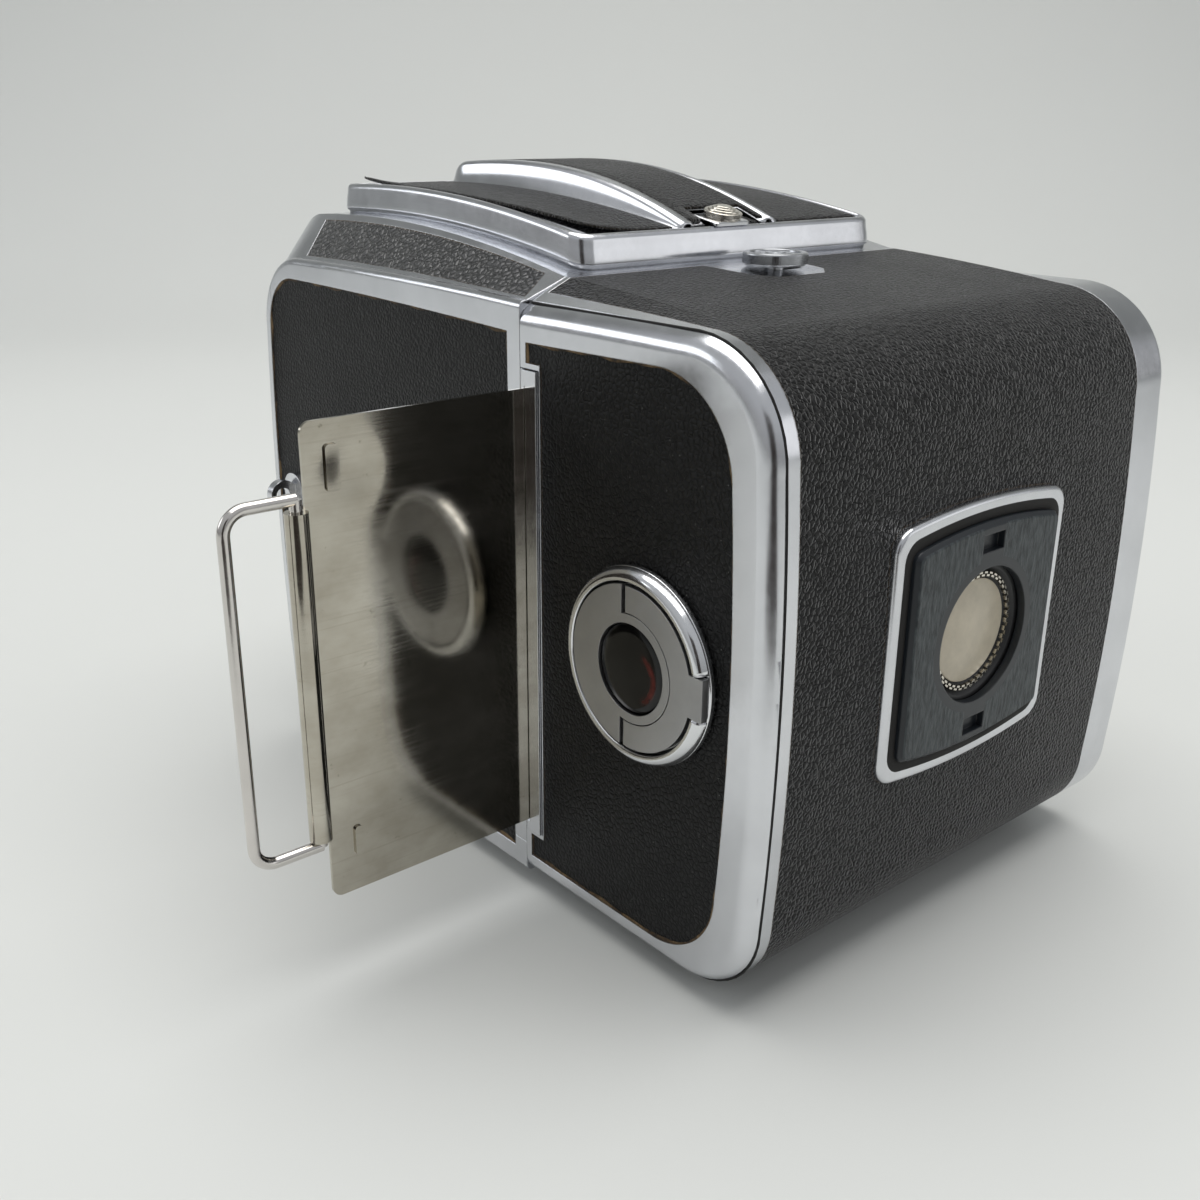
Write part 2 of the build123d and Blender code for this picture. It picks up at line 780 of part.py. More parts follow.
def magnifier_frame():
    tip = magnifier_y - magnifier_arm
    z0 = magnifier_z - magnifier_thick / 2
    plate = rounded_plan(band_center_x - magnifier_half, band_center_x + magnifier_half,
                         tip, magnifier_y, z0, z0 + magnifier_thick, 3)
    plate += rod_x(1.2, band_center_x - magnifier_half + 0.7, band_center_x + magnifier_half - 0.7,
                   magnifier_y, magnifier_z)
    plate -= rod_z(lens_radius, z0 - 1, z0 + 3, band_center_x, tip + lens_radius + 1.6)
    plate -= rod_x(hinge_rod + shaft_play, -far, far, magnifier_y, magnifier_z)
    clear = 1.2 + gap
    for side in (-1, 1):
        x = band_center_x + side * (band_front_half - 3.4)
        plate -= block(x - 0.6 - clear, x + 0.6 + clear, magnifier_y - 2.4, magnifier_y + 3, z0 - 2, z0 + 4)
    return plate


def magnifier_lens():
    """Plano-convex glass."""
    y = magnifier_y - magnifier_arm + lens_radius + 1.6
    z0 = magnifier_z - magnifier_thick / 2
    disc = rod_z(lens_radius, z0, z0 + magnifier_thick, band_center_x, y)
    sphere_radius = 40.0
    dome = Pos(band_center_x, y, z0 + magnifier_thick - sphere_radius) * Sphere(sphere_radius)
    return disc & dome


def hinge_pin(half, y, z, x=0.0):
    return rod_x(hinge_rod, x - half, x + half, y, z)


flap_low_z = screen_z + screen_thick + frame_thick + seat
flap_sheet = 0.8
flap_hinge_y = button_y - tab_front - 0.8
flap_hinge_z = flap_low_z + 3.0
rear_flap_length = 28.0


def side_flap(side):
    """Folded side wall of the hood, lying under the lid."""
    x0, x1 = sorted((side * seat, side * well_half))
    y0 = well_front_y + 2
    y1 = well_rear_y - 3.4
    flap = rounded_plan(x0, x1, y0, y1, flap_low_z, flap_low_z + flap_sheet, 0.5)
    return flap + rod_y(0.9, y0, y1, side * (well_half - 0.9), flap_low_z + 0.9)


def rear_flap():
    z0 = flap_hinge_z - flap_sheet / 2
    half = well_half - 3.0
    flap = block(-half, half, flap_hinge_y - rear_flap_length, flap_hinge_y, z0, z0 + flap_sheet)
    flap += rod_x(knuckle, -half, half, flap_hinge_y, flap_hinge_z)
    return flap - rod_x(hinge_rod + shaft_play, -half - 1, half + 1, flap_hinge_y, flap_hinge_z)


def hood_button():
    """Latch button of the hood on its sliding tab."""
    low = hood_height + gap / 2
    tab = arch_slab(button_y - tab_front, hood_rear_y - 0.5, low, low + tab_thick)
    tab &= block(button_x - tab_half, button_x + tab_half, 0, far, 0, far)
    head = Part()
    for i, radius in enumerate(button_steps):
        head += rod_z(radius, -tab_thick / 2, button_rise * (i + 1) / len(button_steps), 0, 0)
    slope = asin((button_y - arch_top_y) / arch_radius)
    place = Pos(button_x, button_y, deck_z(button_y) + low + tab_thick)
    return tab + place * Rot(-degrees(slope), 0, 0) * head


# Magazine

mag_y = seam_y + mag_gap


def mag_outline(crown, inset=0.0):
    """Side view of the magazine: with the crown at the deck, or at the lower sides."""
    low = base_z + inset
    top = mag_top_z - inset
    rear = rear_y - rear_swell - inset
    r_low = mag_corner_low - inset
    r_top = mag_corner_top - inset
    front_top = (mag_crown_z if crown else mag_top_z - 0.2) - inset
    bulge = 0.35 if crown else 0.1
    mid_y = (mag_crown_y + mag_y) / 2
    return yz_face(
        (mag_y, low),
        (rear - r_low, low),
        (bend(rear - r_low, low + r_low, r_low, 1, -1), (rear, low + r_low)),
        ((rear + rear_swell, (low + top) / 2), (rear, top - r_top)),
        (bend(rear - r_top, top - r_top, r_top, 1, 1), (rear - r_top, top)),
        ((mid_y, (top + front_top) / 2 + bulge), (mag_y, front_top)),
    )


def mag_solid(inset=0.0):
    """Outer form of the magazine without its left bead."""
    crown = mag_outline(True, inset)
    side = mag_outline(False, inset)
    left = loft([Pos(deck_half, 0, 0) * crown, Pos(shoulder_width, 0, 0) * side], ruled=True)
    centre = span_x(crown, -deck_half, deck_half)
    bead = trimmed_edge(side, shoulder_width, half_width, 1.1, mag_y + 0.01, False)
    return centre + left + mirror(left + bead, Plane.YZ)


def mag_covering(solid, inner):
    """Covering wrapped over the top, back and underside."""
    wrap = (solid - inner) & block(-mag_wrap_right, mag_wrap_left, mag_y + 1.0, far, -far, far)
    return wrap - tongue_prism() - reminder_prism()


def tongue_prism():
    """Column over the bright plate that carries the release button."""
    front = tongue_half
    rear = tongue_half - 4.0
    plan = make_face(Polyline(
        (latch_x - front, mag_y),
        (latch_x + front, mag_y),
        (latch_x + front - 1.0, mag_y + tongue_reach - 2.8),
        (latch_x + rear, mag_y + tongue_reach),
        (latch_x - rear, mag_y + tongue_reach),
        (latch_x - front + 1.0, mag_y + tongue_reach - 2.8),
        close=True))
    return extrude(Pos(0, 0, optical_z) * plan, amount=far)


def reminder_prism():
    return bowed_front(reminder_x, reminder_z, reminder_half, reminder_bow, rear_y - 6, rear_y + 6,
                       reminder_corner)


def side_plate():
    """Bright side plate with its rounded outer edge, over the whole side of the magazine."""
    plate = span_x(mag_outline(False), half_width - 2 * mag_bead, half_width)
    outer = plate.faces().sort_by(Axis.X)[-1]
    edges = [e for e in outer.edges() if e.center().Y > mag_y + 0.01]
    return fillet(edges, mag_bead) & block(insert_face, far, 0, far, 0, far)


def mag_side_panel(extra=0.0):
    """Covering of the magazine's left side, or its recess with extra height."""
    front = mag_y + mag_trim_front
    low = base_z + mag_trim_low
    top = mag_top_z - mag_trim_top
    rear = rear_y - rear_swell - mag_trim_rear
    r_low = mag_panel_low
    r_top = mag_panel_top
    face = yz_face(
        (front, low),
        (rear - r_low, low),
        (bend(rear - r_low, low + r_low, r_low, 1, -1), (rear, low + r_low)),
        ((rear + rear_swell, (low + top) / 2), (rear, top - r_top)),
        (bend(rear - r_top, top - r_top, r_top, 1, 1), (rear - r_top, top)),
        (front, top - 0.5),
    )
    return span_x(face, panel_face_x - leather, panel_face_x + extra)


def insert_panel(extra=0.0):
    """Covering of the film insert's side, or its recess. It leaves a border round the slot's strip."""
    notch = block(0, far, 0, insert_front_y + gap, strip_low_z - slot_border, strip_top_z + slot_border)
    return mag_side_panel(extra) - notch


def mag_shell(solid, covering):
    """Magazine housing: open to the left, with the picture gate and the slide's slot in its front wall."""
    shell = solid & block(-far, insert_face, mag_y, far, 0, far)
    room = mag_outline(False, mag_wall)
    cavity = span_x(room, -half_width + wall + 0.6, insert_face + 1)
    shell -= cavity & block(-far, far, mag_front_wall_y, far, 0, far)
    shell += side_plate() & block(insert_face, far, mag_y, insert_front_y - gap, strip_low_z, strip_top_z)
    shell -= slot_space()
    shell -= slot_strip()
    shell -= gate_plate_solid()
    shell -= picture_gate(mag_y - 1, mag_front_wall_y + 1)
    shell -= rod_x(film_shaft + shaft_play, -far, spool_right_x, spool_y, spool_z)
    shell -= button_slot()
    shell -= tongue_recess()
    shell -= reminder_prism() & block(-far, far, reminder_floor_y, far, 0, far)
    shell -= mirror(mag_side_panel(5), Plane.YZ)
    shell -= hooks(gap)
    shell -= gear_pocket(mag_y + gear_pitch)
    shell += gear_axle(mag_y + gear_pitch)
    shell -= covering
    return shell


slot_y = mag_y + gate_plate
slot_width = blade_thick + 2 * gap
strip_low_z = blade_low_z - slot_strip_below
strip_top_z = blade_low_z + blade_height + slot_strip_above


def slot_space():
    """Slot in which the dark slide's blade runs."""
    top_z = blade_low_z + blade_height + gap
    return block(-gate_half - gate_side, far, slot_y, slot_y + slot_width, blade_low_z - gap, top_z)


def gate_plate_solid():
    side = gate_half + gate_side
    z0 = blade_low_z - gate_margin
    return block(-side, side, mag_y, slot_y, z0, z0 + blade_height + 2 * gate_margin)


def film_gate():
    """Thin plate that closes the slot towards the body."""
    return gate_plate_solid() - picture_gate(mag_y - 1, slot_y + 1)


def slot_strip():
    """Bright strip behind the slot, hooked round the slot's two ends."""
    low = strip_low_z
    high = strip_top_z
    x1 = half_width + slot_strip_stand
    rear = block(slot_strip_x, x1, slot_y + slot_width, insert_front_y - gap, low, high)
    foot = block(slot_strip_x, x1, slot_y, slot_y + slot_width, low, low + slot_strip_flare)
    head = block(slot_strip_x, x1, slot_y, slot_y + slot_width, high - slot_strip_flare, high)
    return rear + foot + head


def tongue_recess():
    """Seat of the bright tongue plate, sunk to half its thickness."""
    return tongue_prism() & (mag_solid() - mag_solid(leather))


def tongue_plate(solid, inner):
    plate = (solid - inner) & tongue_prism()
    return plate - button_slot()


def button_slot():
    """Slot in which the stem of the release button travels."""
    side = latch_stem + 0.1
    x0 = latch_x - side - latch_travel
    return block(x0, latch_x + side, latch_y - side, latch_y + side, mag_top_z - 6, far)


def magazine_button():
    """Release button of the magazine: a ring round a stepped middle, on its stem."""
    low = mag_crown_z + 0.1
    top = low + latch_height
    head = rod_z(latch_radius, low, top, latch_x, latch_y)
    head = fillet(head.edges().filter_by(GeomType.CIRCLE).group_by(Axis.Z)[-1], 0.4)
    middle = latch_radius - latch_wall
    head -= rod_z(middle, top - 0.9, top + 1, latch_x, latch_y)
    for i in range(3):
        radius = middle - 0.4 - 0.8 * i
        head += rod_z(radius, top - 1.0, top - 0.6 + 0.25 * i, latch_x, latch_y)
    return head + rod_z(latch_stem, mag_top_z - 5.9, low, latch_x, latch_y)


def reminder_frame():
    """Bright bezel of the film reminder, standing on the covering's cut-out."""
    inner = holder_half + 0.2
    y1 = rear_y + 0.9
    frame = reminder_prism() & block(-far, far, reminder_floor_y, y1, 0, far)
    frame -= bowed_front(reminder_x, reminder_z, inner, reminder_bow, rear_y - 8, rear_y + 8, 1.7)
    return fillet(frame.faces().sort_by(Axis.Y)[-1].outer_wire().edges(), 0.7)


def reminder_holder():
    """Dark moulded plate with a round window and two small sight holes."""
    y0 = reminder_floor_y
    y1 = rear_y + reminder_stand
    plate = bowed_front(reminder_x, reminder_z, holder_half, reminder_bow, y0, y1, 1.5)
    front = plate.faces().sort_by(Axis.Y)[-1]
    plate = chamfer(front.edges(), 0.7)
    plate -= rod_y(dial_disc + gap, y0 + holder_floor, y1 - holder_front, reminder_x, reminder_z)
    plate -= rod_y(dial_window, y0 + 1, y1 + 1, reminder_x, reminder_z)
    for dz in (-1, 1):
        z = reminder_z + dz * sight_place
        plate -= block(reminder_x - 2.5, reminder_x + 2.5, y1 - 1.1, y1 + 1, z - 1.3, z + 1.3)
    return plate


def reminder_dial():
    """Turning disc behind the window, dished and with a milled rim."""
    y0 = reminder_floor_y + holder_floor + gap
    y1 = rear_y + reminder_stand - holder_front - gap
    rim = dial_window - 0.6
    disc = rod_y(dial_disc, y0, y1, reminder_x, reminder_z)
    disc -= rod_y(rim, y0 + 0.5, y1 + 1, reminder_x, reminder_z)
    for i in range(dial_notches):
        angle = radians(360 * i / dial_notches)
        x = reminder_x + rim * cos(angle)
        z = reminder_z + rim * sin(angle)
        disc -= rod_y(0.35, y0 + 0.5, y1 + 1, x, z)
    return disc


# Film insert

def insert_plate():
    """Side plate of the film insert with the stud that carries the spool's left end."""
    plate = side_plate()
    plate -= block(0, far, 0, insert_front_y, strip_low_z - gap, strip_top_z + gap)
    plate -= insert_panel(5)
    plate -= rod_x(key_hub + shaft_play, 0, far, key_y, key_z)
    end = spool_right_x + spool_length + 0.4
    plate += rod_x(spool_bore + 2.4, end, insert_face, spool_y, spool_z)
    return plate + rod_x(spool_bore - shaft_play, end - 4.5, end, spool_y, spool_z)


def insert_covering():
    """Covering of the insert's side plate, holed for the key's hub."""
    return insert_panel() - rod_x(key_radius - 1, 0, far, key_y, key_z)


def key_ring():
    """Turning ring of the key, with the notch that frees the tab."""
    x0 = panel_face_x + gap
    ring = rod_x(key_radius, x0, key_face_x, key_y, key_z)
    ring = fillet(ring.edges().filter_by(GeomType.CIRCLE).group_by(Axis.X)[-1], key_edge)
    ring -= rod_x(key_bore, x0 + key_base, key_face_x + 1, key_y, key_z)
    ring -= rod_x(key_hub, x0 - 1, key_face_x + 1, key_y, key_z)
    half = tab_height / 2 + gap
    notch_x = key_face_x - key_leaf - key_play
    ring -= block(notch_x, key_face_x + 1, key_y, key_y + key_radius + 1, key_z - half, key_z + half)
    return ring


def key_leaf_face():
    """Half ring with its tab, seen from the side."""
    ring = Circle(key_bore - gap) - Circle(key_hub + gap)
    reach = Pos(tab_reach / 2 + 3, 0) * Rectangle(tab_reach - 6, tab_height)
    reach -= Circle(key_bore - 1)
    rear = key_slit_y - key_y + key_slit
    half = (ring + reach) & (Pos(rear + 2 * key_radius, 0) * Rectangle(4 * key_radius, 4 * key_radius))
    return Plane.YZ * half


def key_flap():
    """Fold-out leaf that serves as the key's grip."""
    leaf = span_x(Pos(0, key_y, key_z) * key_leaf_face(), key_face_x - key_leaf, key_face_x)
    hinge_y = key_slit_y + key_slit + key_leaf / 2
    centre_x = key_face_x - key_leaf / 2
    front = block(0, far, 0, hinge_y, 0, far)
    rounding = rod_z(key_leaf / 2, 0, far, centre_x, hinge_y)
    return leaf - (front - rounding)


def key_disc():
    """Fixed half ring of the key's face on its hollow hub, which turns in the side plate."""
    x0 = panel_face_x + gap + key_base
    floor_x = key_face_x - key_leaf - key_play
    face = Circle(key_bore) - Circle(key_window)
    front = key_slit_y - key_y
    leaf_side = Circle(key_bore + 1) - Circle(key_hub)
    leaf_side &= Pos(front + 2 * key_radius, 0) * Rectangle(4 * key_radius, 4 * key_radius)
    centre = Pos(0, key_y, key_z)
    disc = span_x(centre * (Plane.YZ * (face - leaf_side)), x0, key_face_x)
    disc += span_x(centre * (Plane.YZ * face), x0, floor_x)
    hub = Plane.YZ * (Circle(key_hub) - Circle(key_window))
    return disc + span_x(centre * hub, key_hub_x, x0 + 0.5)


def key_window_glass():
    return rod_x(key_window, key_hub_x + 0.6, key_face_x - 1.2, key_y, key_z)


def insert_frame():
    """Carrier of the spool: right end plate, back wall and floor."""
    inner = offset(mag_outline(False), amount=-mag_wall - 0.8, kind=Kind.ARC)
    end_x = spool_right_x - 0.4
    back_y = pressure_y + pressure_thick
    plate = span_x(inner, end_x - 1.6, end_x) & block(-far, far, back_y, far, 0, far)
    plate -= rod_x(spool_bore + 1.1, end_x - 3, end_x + 1, spool_y, spool_z)
    back = block(end_x, insert_face, back_y, back_y + insert_sheet, insert_low_z, insert_high_z)
    floor = block(end_x, insert_face, back_y, insert_floor_y, insert_low_z - insert_sheet, insert_low_z)
    return plate + back + floor


def pressure_plate():
    z0 = optical_z - gate_half - 2.5
    z1 = optical_z + gate_half - 1.5
    return block(-gate_half - 2, gate_half + 4, pressure_y, pressure_y + pressure_thick, z0, z1)


def takeup_spool():
    x0 = spool_right_x
    x1 = x0 + spool_length
    spool = rod_x(spool_core, x0, x1, spool_y, spool_z)
    spool += rod_x(spool_flange, x0, x0 + 0.9, spool_y, spool_z)
    spool += rod_x(spool_flange, x1 - 0.9, x1, spool_y, spool_z)
    spool -= rod_x(spool_bore, x0 - 1, x0 + 6, spool_y, spool_z)
    spool -= rod_x(spool_bore, x1 - 6, x1 + 1, spool_y, spool_z)
    slit_half = spool_core + 1
    spool -= block(x0 + 12, x1 - 12, spool_y - 0.7, spool_y + 0.7, spool_z - slit_half, spool_z + slit_half)
    return spool


def film_knob():
    """Fluted film winding knob with its driving shaft."""
    x1 = -half_width - gap
    x0 = x1 - film_knob_height
    knob = rod_x(film_knob_radius, x0, x1, spool_y, spool_z)
    knob = fillet(knob.edges().filter_by(GeomType.CIRCLE).group_by(Axis.X)[0], 1.0)
    knob -= flutes(film_knob_radius + 0.4, 1.0, film_knob_flutes, x0 + 2.0, x1 + 1, spool_y, spool_z)
    knob -= rod_x(film_knob_radius - 2.6, x0 - 1, x0 + 0.8, spool_y, spool_z)
    return knob + rod_x(film_shaft, x0 + 0.8, spool_right_x + 5, spool_y, spool_z)


# Coupling gears and hooks

def spur_gear(y, phase):
    """Straight toothed wheel that turns about X, with trapezoid teeth."""
    root = gear_pitch - 1.2 * gear_module
    tip = gear_pitch + 0.95 * gear_module
    x1 = gear_x + gear_width
    wheel = rod_x(root, gear_x, x1, y, gear_z)
    pitch_angle = 360 / gear_teeth
    for i in range(gear_teeth):
        a = i * pitch_angle + phase
        points = []
        for radius, share in ((root - 0.2, -0.30), (gear_pitch, -0.235), (tip, -0.12),
                              (tip, 0.12), (gear_pitch, 0.235), (root - 0.2, 0.30)):
            angle = radians(a + share * pitch_angle)
            points.append((y + radius * cos(angle), gear_z + radius * sin(angle)))
        tooth = make_face(Plane.YZ * Polyline(*points, close=True))
        wheel += span_x(tooth, gear_x, x1)
    return wheel - rod_x(gear_pin + shaft_play, gear_x - 1, x1 + 1, y, gear_z)


def gear_pocket(y):
    """Room for a coupling gear, open at the seam."""
    reach = gear_pitch + gear_module + 0.5
    return rod_x(reach, gear_x - gap, gear_x + gear_width + gap, y, gear_z)


def gear_axle(y):
    """Fixed pin across the pocket."""
    return rod_x(gear_pin, gear_x - 1, gear_x + gear_width + 1, y, gear_z)


def hooks(grow):
    """Two pairs of hooks at the rear of the body, or their sockets when grown."""
    group = Part()
    half = hook_width / 2 + grow
    rise = hook_height / 2 + grow
    for x in (-hook_x, hook_x):
        for z in (hook_low_z, hook_top_z):
            group += block(x - half, x + half, seam_y - 2, seam_y + hook_reach + grow, z - rise, z + rise)
    return group


# Dark slide

def dark_slide_blade():
    """Thin blade with rounded outer corners, two stop ridges and a rolled barrel."""
    y0 = slot_y + gap
    y1 = y0 + blade_thick
    z1 = blade_low_z + blade_height
    y_mid = y0 + blade_thick / 2
    barrel_x = blade_out_x + barrel_radius - 0.4
    ridge_x = blade_out_x - 5.2
    blade = rounded_front(blade_in_x, blade_out_x, blade_low_z, z1, y0, y1, 1.6)
    blade += rod_z(barrel_radius, barrel_low_z, barrel_top_z, barrel_x, y_mid)
    for z, width, height in ((blade_low_z + 5.6, 1.3, 4.7), (z1 - 9.6, 2.0, 6.3)):
        blade += rounded_front(ridge_x, ridge_x + width, z, z + height, y0, y1 + 0.35, 0.6)
    return blade - rod_z(wire_radius + shaft_play, barrel_low_z - 1, barrel_top_z + 1, barrel_x, y_mid)


def dark_slide_handle():
    """Bent wire loop that swings in the barrel."""
    x0 = blade_out_x + barrel_radius - 0.4
    y = slot_y + gap + blade_thick / 2
    x1 = x0 + loop_reach
    low = loop_low_z
    high = loop_top_z
    path = FilletPolyline(
        (x0, y, high),
        (x1, y, high),
        (x1, y, low),
        (x0, y, low),
        radius=loop_corner)
    loop = sweep(Plane(origin=(x0, y, high), z_dir=(1, 0, 0)) * Circle(wire_radius), path=path)
    pin = rod_z(wire_radius, low, high, x0, y)
    return loop + pin


# Build

solid = body_solid()
left_panel = side_panel()
right_panel = mirror(left_panel, Plane.YZ)
left_strip = shoulder_strip(solid)
right_strip = mirror(left_strip, Plane.YZ)
front_panel = front_covering(solid)

shell = body_shell(solid, (left_strip, right_strip, front_panel))
shell -= side_panel(5)
shell -= mirror(side_panel(5), Plane.YZ)
shell -= hooks(0)
for x, z in ((release_x, release_z), (catch_x, catch_z)):
    shell -= rod_y(button_radius + gap, front_y - 5, front_y + 2.8, x, z)
    shell -= rod_y(button_stem + shaft_play, front_y - 5, front_y + 12, x, z)
    front_panel -= rod_y(button_radius + seat, front_y - 5, front_y + 5, x, z)
shell -= rod_x(shaft_radius + shaft_play, -far, -half_width + wall + 2, knob_y, knob_z)

plates = front_and_floor_space()
save(shell - plates, "body_shell")
save(shell & plates, "front_and_floor_plates")
save(left_panel, "left_side_leather")
save(right_panel - rod_x(shaft_radius + seat, -far, 0, knob_y, knob_z), "right_side_leather")
save(left_strip + right_strip, "shoulder_leathers")
save(front_panel, "front_leather")
save(mount_ring(), "lens_mount_ring")
save(mount_screws(), "lens_mount_screws")
save(mirror_frame(), "mirror_frame")
save(mirror_glass_plate(), "mirror_glass")
save(focusing_screen(), "focusing_screen")
save(screen_frame(), "screen_frame")
save(shutter_frame(), "shutter_frame")
save(shutter_curtain(), "shutter_curtain")
save(curtain_drum(drum_x), "left_curtain_drum")
save(curtain_drum(-drum_x), "right_curtain_drum")
save(tripod_foot(), "tripod_foot")
save(tripod_socket(), "tripod_socket")
save(foot_screws(), "foot_screws")
save(strap_lugs(), "strap_lugs")
save(hooks(0), "magazine_hooks")
save(spur_gear(seam_y - gear_pitch, 0), "body_gear")
save(winding_knob(), "winding_knob")
save(speed_dial(), "speed_dial")
save(front_button(release_x, release_z), "shutter_release_button")
save(front_button(catch_x, catch_z), "lens_catch_button")

save(hood_base(), "hood_rim")
save(hood_lid(), "hood_lid")
save(lid_wing_covering(1) + lid_wing_covering(-1), "lid_wing_leathers")
save(band_covering(), "band_leather")
mirror_pin = hinge_pin(chamber_half, mirror_pivot_y, mirror_pivot_z)
lid_pin = hinge_pin(hood_half - hood_wall, lid_pivot_y, lid_pivot_z)
flap_pin = hinge_pin(well_half, flap_hinge_y, flap_hinge_z)
save(mirror_pin + lid_pin + flap_pin, "hinge_pins")
save(hood_button(), "hood_button")
save(magnifier_frame(), "magnifier_frame")
save(magnifier_lens(), "magnifier_lens")
save(hinge_pin(magnifier_pin_half, magnifier_y, magnifier_z, band_center_x), "magnifier_pin")
save(side_flap(1) + side_flap(-1), "hood_side_flaps")
save(rear_flap(), "rear_hood_flap")

mag_outer = mag_solid()
mag_inner = mag_solid(leather)
wrap = mag_covering(mag_outer, mag_inner)
housing = mag_shell(mag_outer, wrap)
save(housing, "magazine_shell")
save(wrap, "magazine_leather")
save(tongue_plate(mag_outer, mag_inner), "release_plate")
save(magazine_button(), "magazine_release_button")
save(film_gate(), "film_gate")
save(slot_strip(), "slide_slot_strip")
save(reminder_frame(), "reminder_frame")
save(reminder_holder(), "reminder_holder")
save(reminder_dial(), "reminder_dial")
save(film_knob(), "film_knob")
right_cover = mirror(mag_side_panel(), Plane.YZ)
save(right_cover - rod_x(film_shaft + seat, -far, 0, spool_y, spool_z), "magazine_side_leather")
save(spur_gear(mag_y + gear_pitch, 180 / gear_teeth), "magazine_gear")

save(insert_plate(), "insert_plate")
save(insert_covering(), "insert_leather")
save(key_ring(), "key_ring")
save(key_disc(), "key_disc")
save(key_flap(), "key_flap")
save(key_window_glass(), "key_window")
save(insert_frame(), "insert_frame")
save(pressure_plate(), "pressure_plate")
save(takeup_spool(), "takeup_spool")
save(dark_slide_blade(), "dark_slide_blade")
save(dark_slide_handle(), "dark_slide_handle")
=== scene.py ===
"""Medium format film camera: materials and mesh pieces over the CAD bodies, stage and lights."""
import math

import bpy
import bmesh
from mathutils import Matrix, Vector


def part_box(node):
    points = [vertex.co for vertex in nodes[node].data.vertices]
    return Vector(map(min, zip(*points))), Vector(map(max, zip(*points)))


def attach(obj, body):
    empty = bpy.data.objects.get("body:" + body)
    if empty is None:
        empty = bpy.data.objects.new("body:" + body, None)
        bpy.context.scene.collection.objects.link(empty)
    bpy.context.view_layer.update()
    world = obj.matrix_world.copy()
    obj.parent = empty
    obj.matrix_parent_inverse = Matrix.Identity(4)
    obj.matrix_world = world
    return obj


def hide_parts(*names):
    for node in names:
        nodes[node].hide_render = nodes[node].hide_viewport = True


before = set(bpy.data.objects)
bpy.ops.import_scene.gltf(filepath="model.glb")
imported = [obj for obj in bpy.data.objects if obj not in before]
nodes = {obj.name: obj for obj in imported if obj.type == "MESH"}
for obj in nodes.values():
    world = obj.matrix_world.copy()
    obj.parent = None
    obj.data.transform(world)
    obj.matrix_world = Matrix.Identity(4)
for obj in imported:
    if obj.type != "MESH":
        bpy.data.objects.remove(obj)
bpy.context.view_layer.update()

MM = 0.001
MM_PER_M = 1000.0
PER_CM = 100.0         # metres to centimetres, for ramps that read a distance
SAME_PLACE = 0.0005    # vertices closer than this, in mm, are merged

# Sizes are in mm. X runs to the camera's left side, Y to its rear and Z upwards.

# Magazine, seen from the left
SEAM_Y = 41.1
REAR_Y = 90.2
REAR_SWELL = 1.2       # bow of the rear face
MAG_LOW_Z = 3.0
MAG_TOP_Z = 94.8
MAG_CORNER_TOP = 15.5
MAG_CORNER_LOW = 13.5
PLATE_SEAM_X = 43.3    # joint between the insert's side plate and the housing
PANEL_X = 45.1         # outer face of the coverings on the left side
RELEASE_X, RELEASE_Y, RELEASE_Z = 1.5, 48.6, 97.8
FILM_KNOB_Y, FILM_KNOB_Z = 73.5, 73.0

# Body, seen from the left
BODY_FRONT_Y = -37.7
BODY_TOP_Z = 95.4
KNOB_Y, KNOB_Z = -2.0, 52.0

# Key of the film insert
KEY_Y, KEY_Z = 67.75, 48.6
KEY_FACE_X = 47.6
KEY_BASE_X = 45.25

# Film reminder on the rear
DIAL_X, DIAL_Z = 3.2, 50.4
HOLDER_FACE_Y = 93.4
FRAME_BOW = 1.6        # swelling of its upper and lower edges
FRAME_CORNER = 2.6

# Arch of the deck, which rim, lid and coverings follow
ARCH_RADIUS = 270.0
ARCH_TOP_Y = -12.0
ARCH_TOP_Z = 102.9

# Hood's rim
RIM_HALF = 33.5
RIM_FRONT_Y = -28.0
RIM_REAR_Y = 40.0
RIM_RISE = 5.0         # top edge above the deck
RIM_CORNER = 3.0

# Hood's lid and its hinge
LID_HALF = 31.6
LID_FRONT_Y = -23.3
LID_REAR_Y = 37.7
HINGE_Y, HINGE_Z = -24.9, 106.49
WING_RISE = 4.5        # lower face of a wing's covering above the deck
WING_THICK = 0.5
WING_INNER = 14.2      # a covering's inner edge from the band's middle, in front
WING_TAPER = 2.3       # by how much that edge comes in towards the rear
WING_TAPER_Y = -13.4
WING_GAP = 0.2         # gap in front of a covering
WING_GAPS = 0.5        # gaps in front of it and behind it together

# Raised band of the lid
BAND_X = 1.0
BAND_TOP_Z = 111.8
BAND_TOP_Y = -6.0
BAND_RADIUS = 151.0
BAND_FRONT_Y = -23.0
BAND_NOSE = 5.0        # radius of its rounded front end
BAND_NOSE_Y = BAND_FRONT_Y + BAND_NOSE
BAND_WALL = 1.0
BAND_SINK = 1.4        # by how much its top sinks towards the rear
BAND_SINK_Y = (4.0, 38.0)
BAND_WIDE = 12.2       # half width in front
BAND_WIDE_Y = -21.4
BAND_TAPER = 2.6 / 59.5
BAND_DRAFT = 0.158     # slope of its side walls
BAND_DRAFT_Z = 101.7
BAND_FLARE = 1.6
BAND_NOSE_DRAW = 2.5   # by how much the nose narrows on each side
BAND_ROUND = 1.1       # radius of its upper edges, where it stands high enough
BAND_FOOT = 0.12       # rounding at the foot of its walls
BAND_LIP = 2.4         # bright border beside its covering
BAND_RECESS = 0.45     # depth of the covering's seat
NOTCH_Y = 32.8         # notch for the catch at the rear end
NOTCH_LOW_X = -6.05
NOTCH_HIGH_X = 6.6
LUG_OFF = 8.8          # the magnifier's lugs from the band's middle
LUG_HALF = 0.6

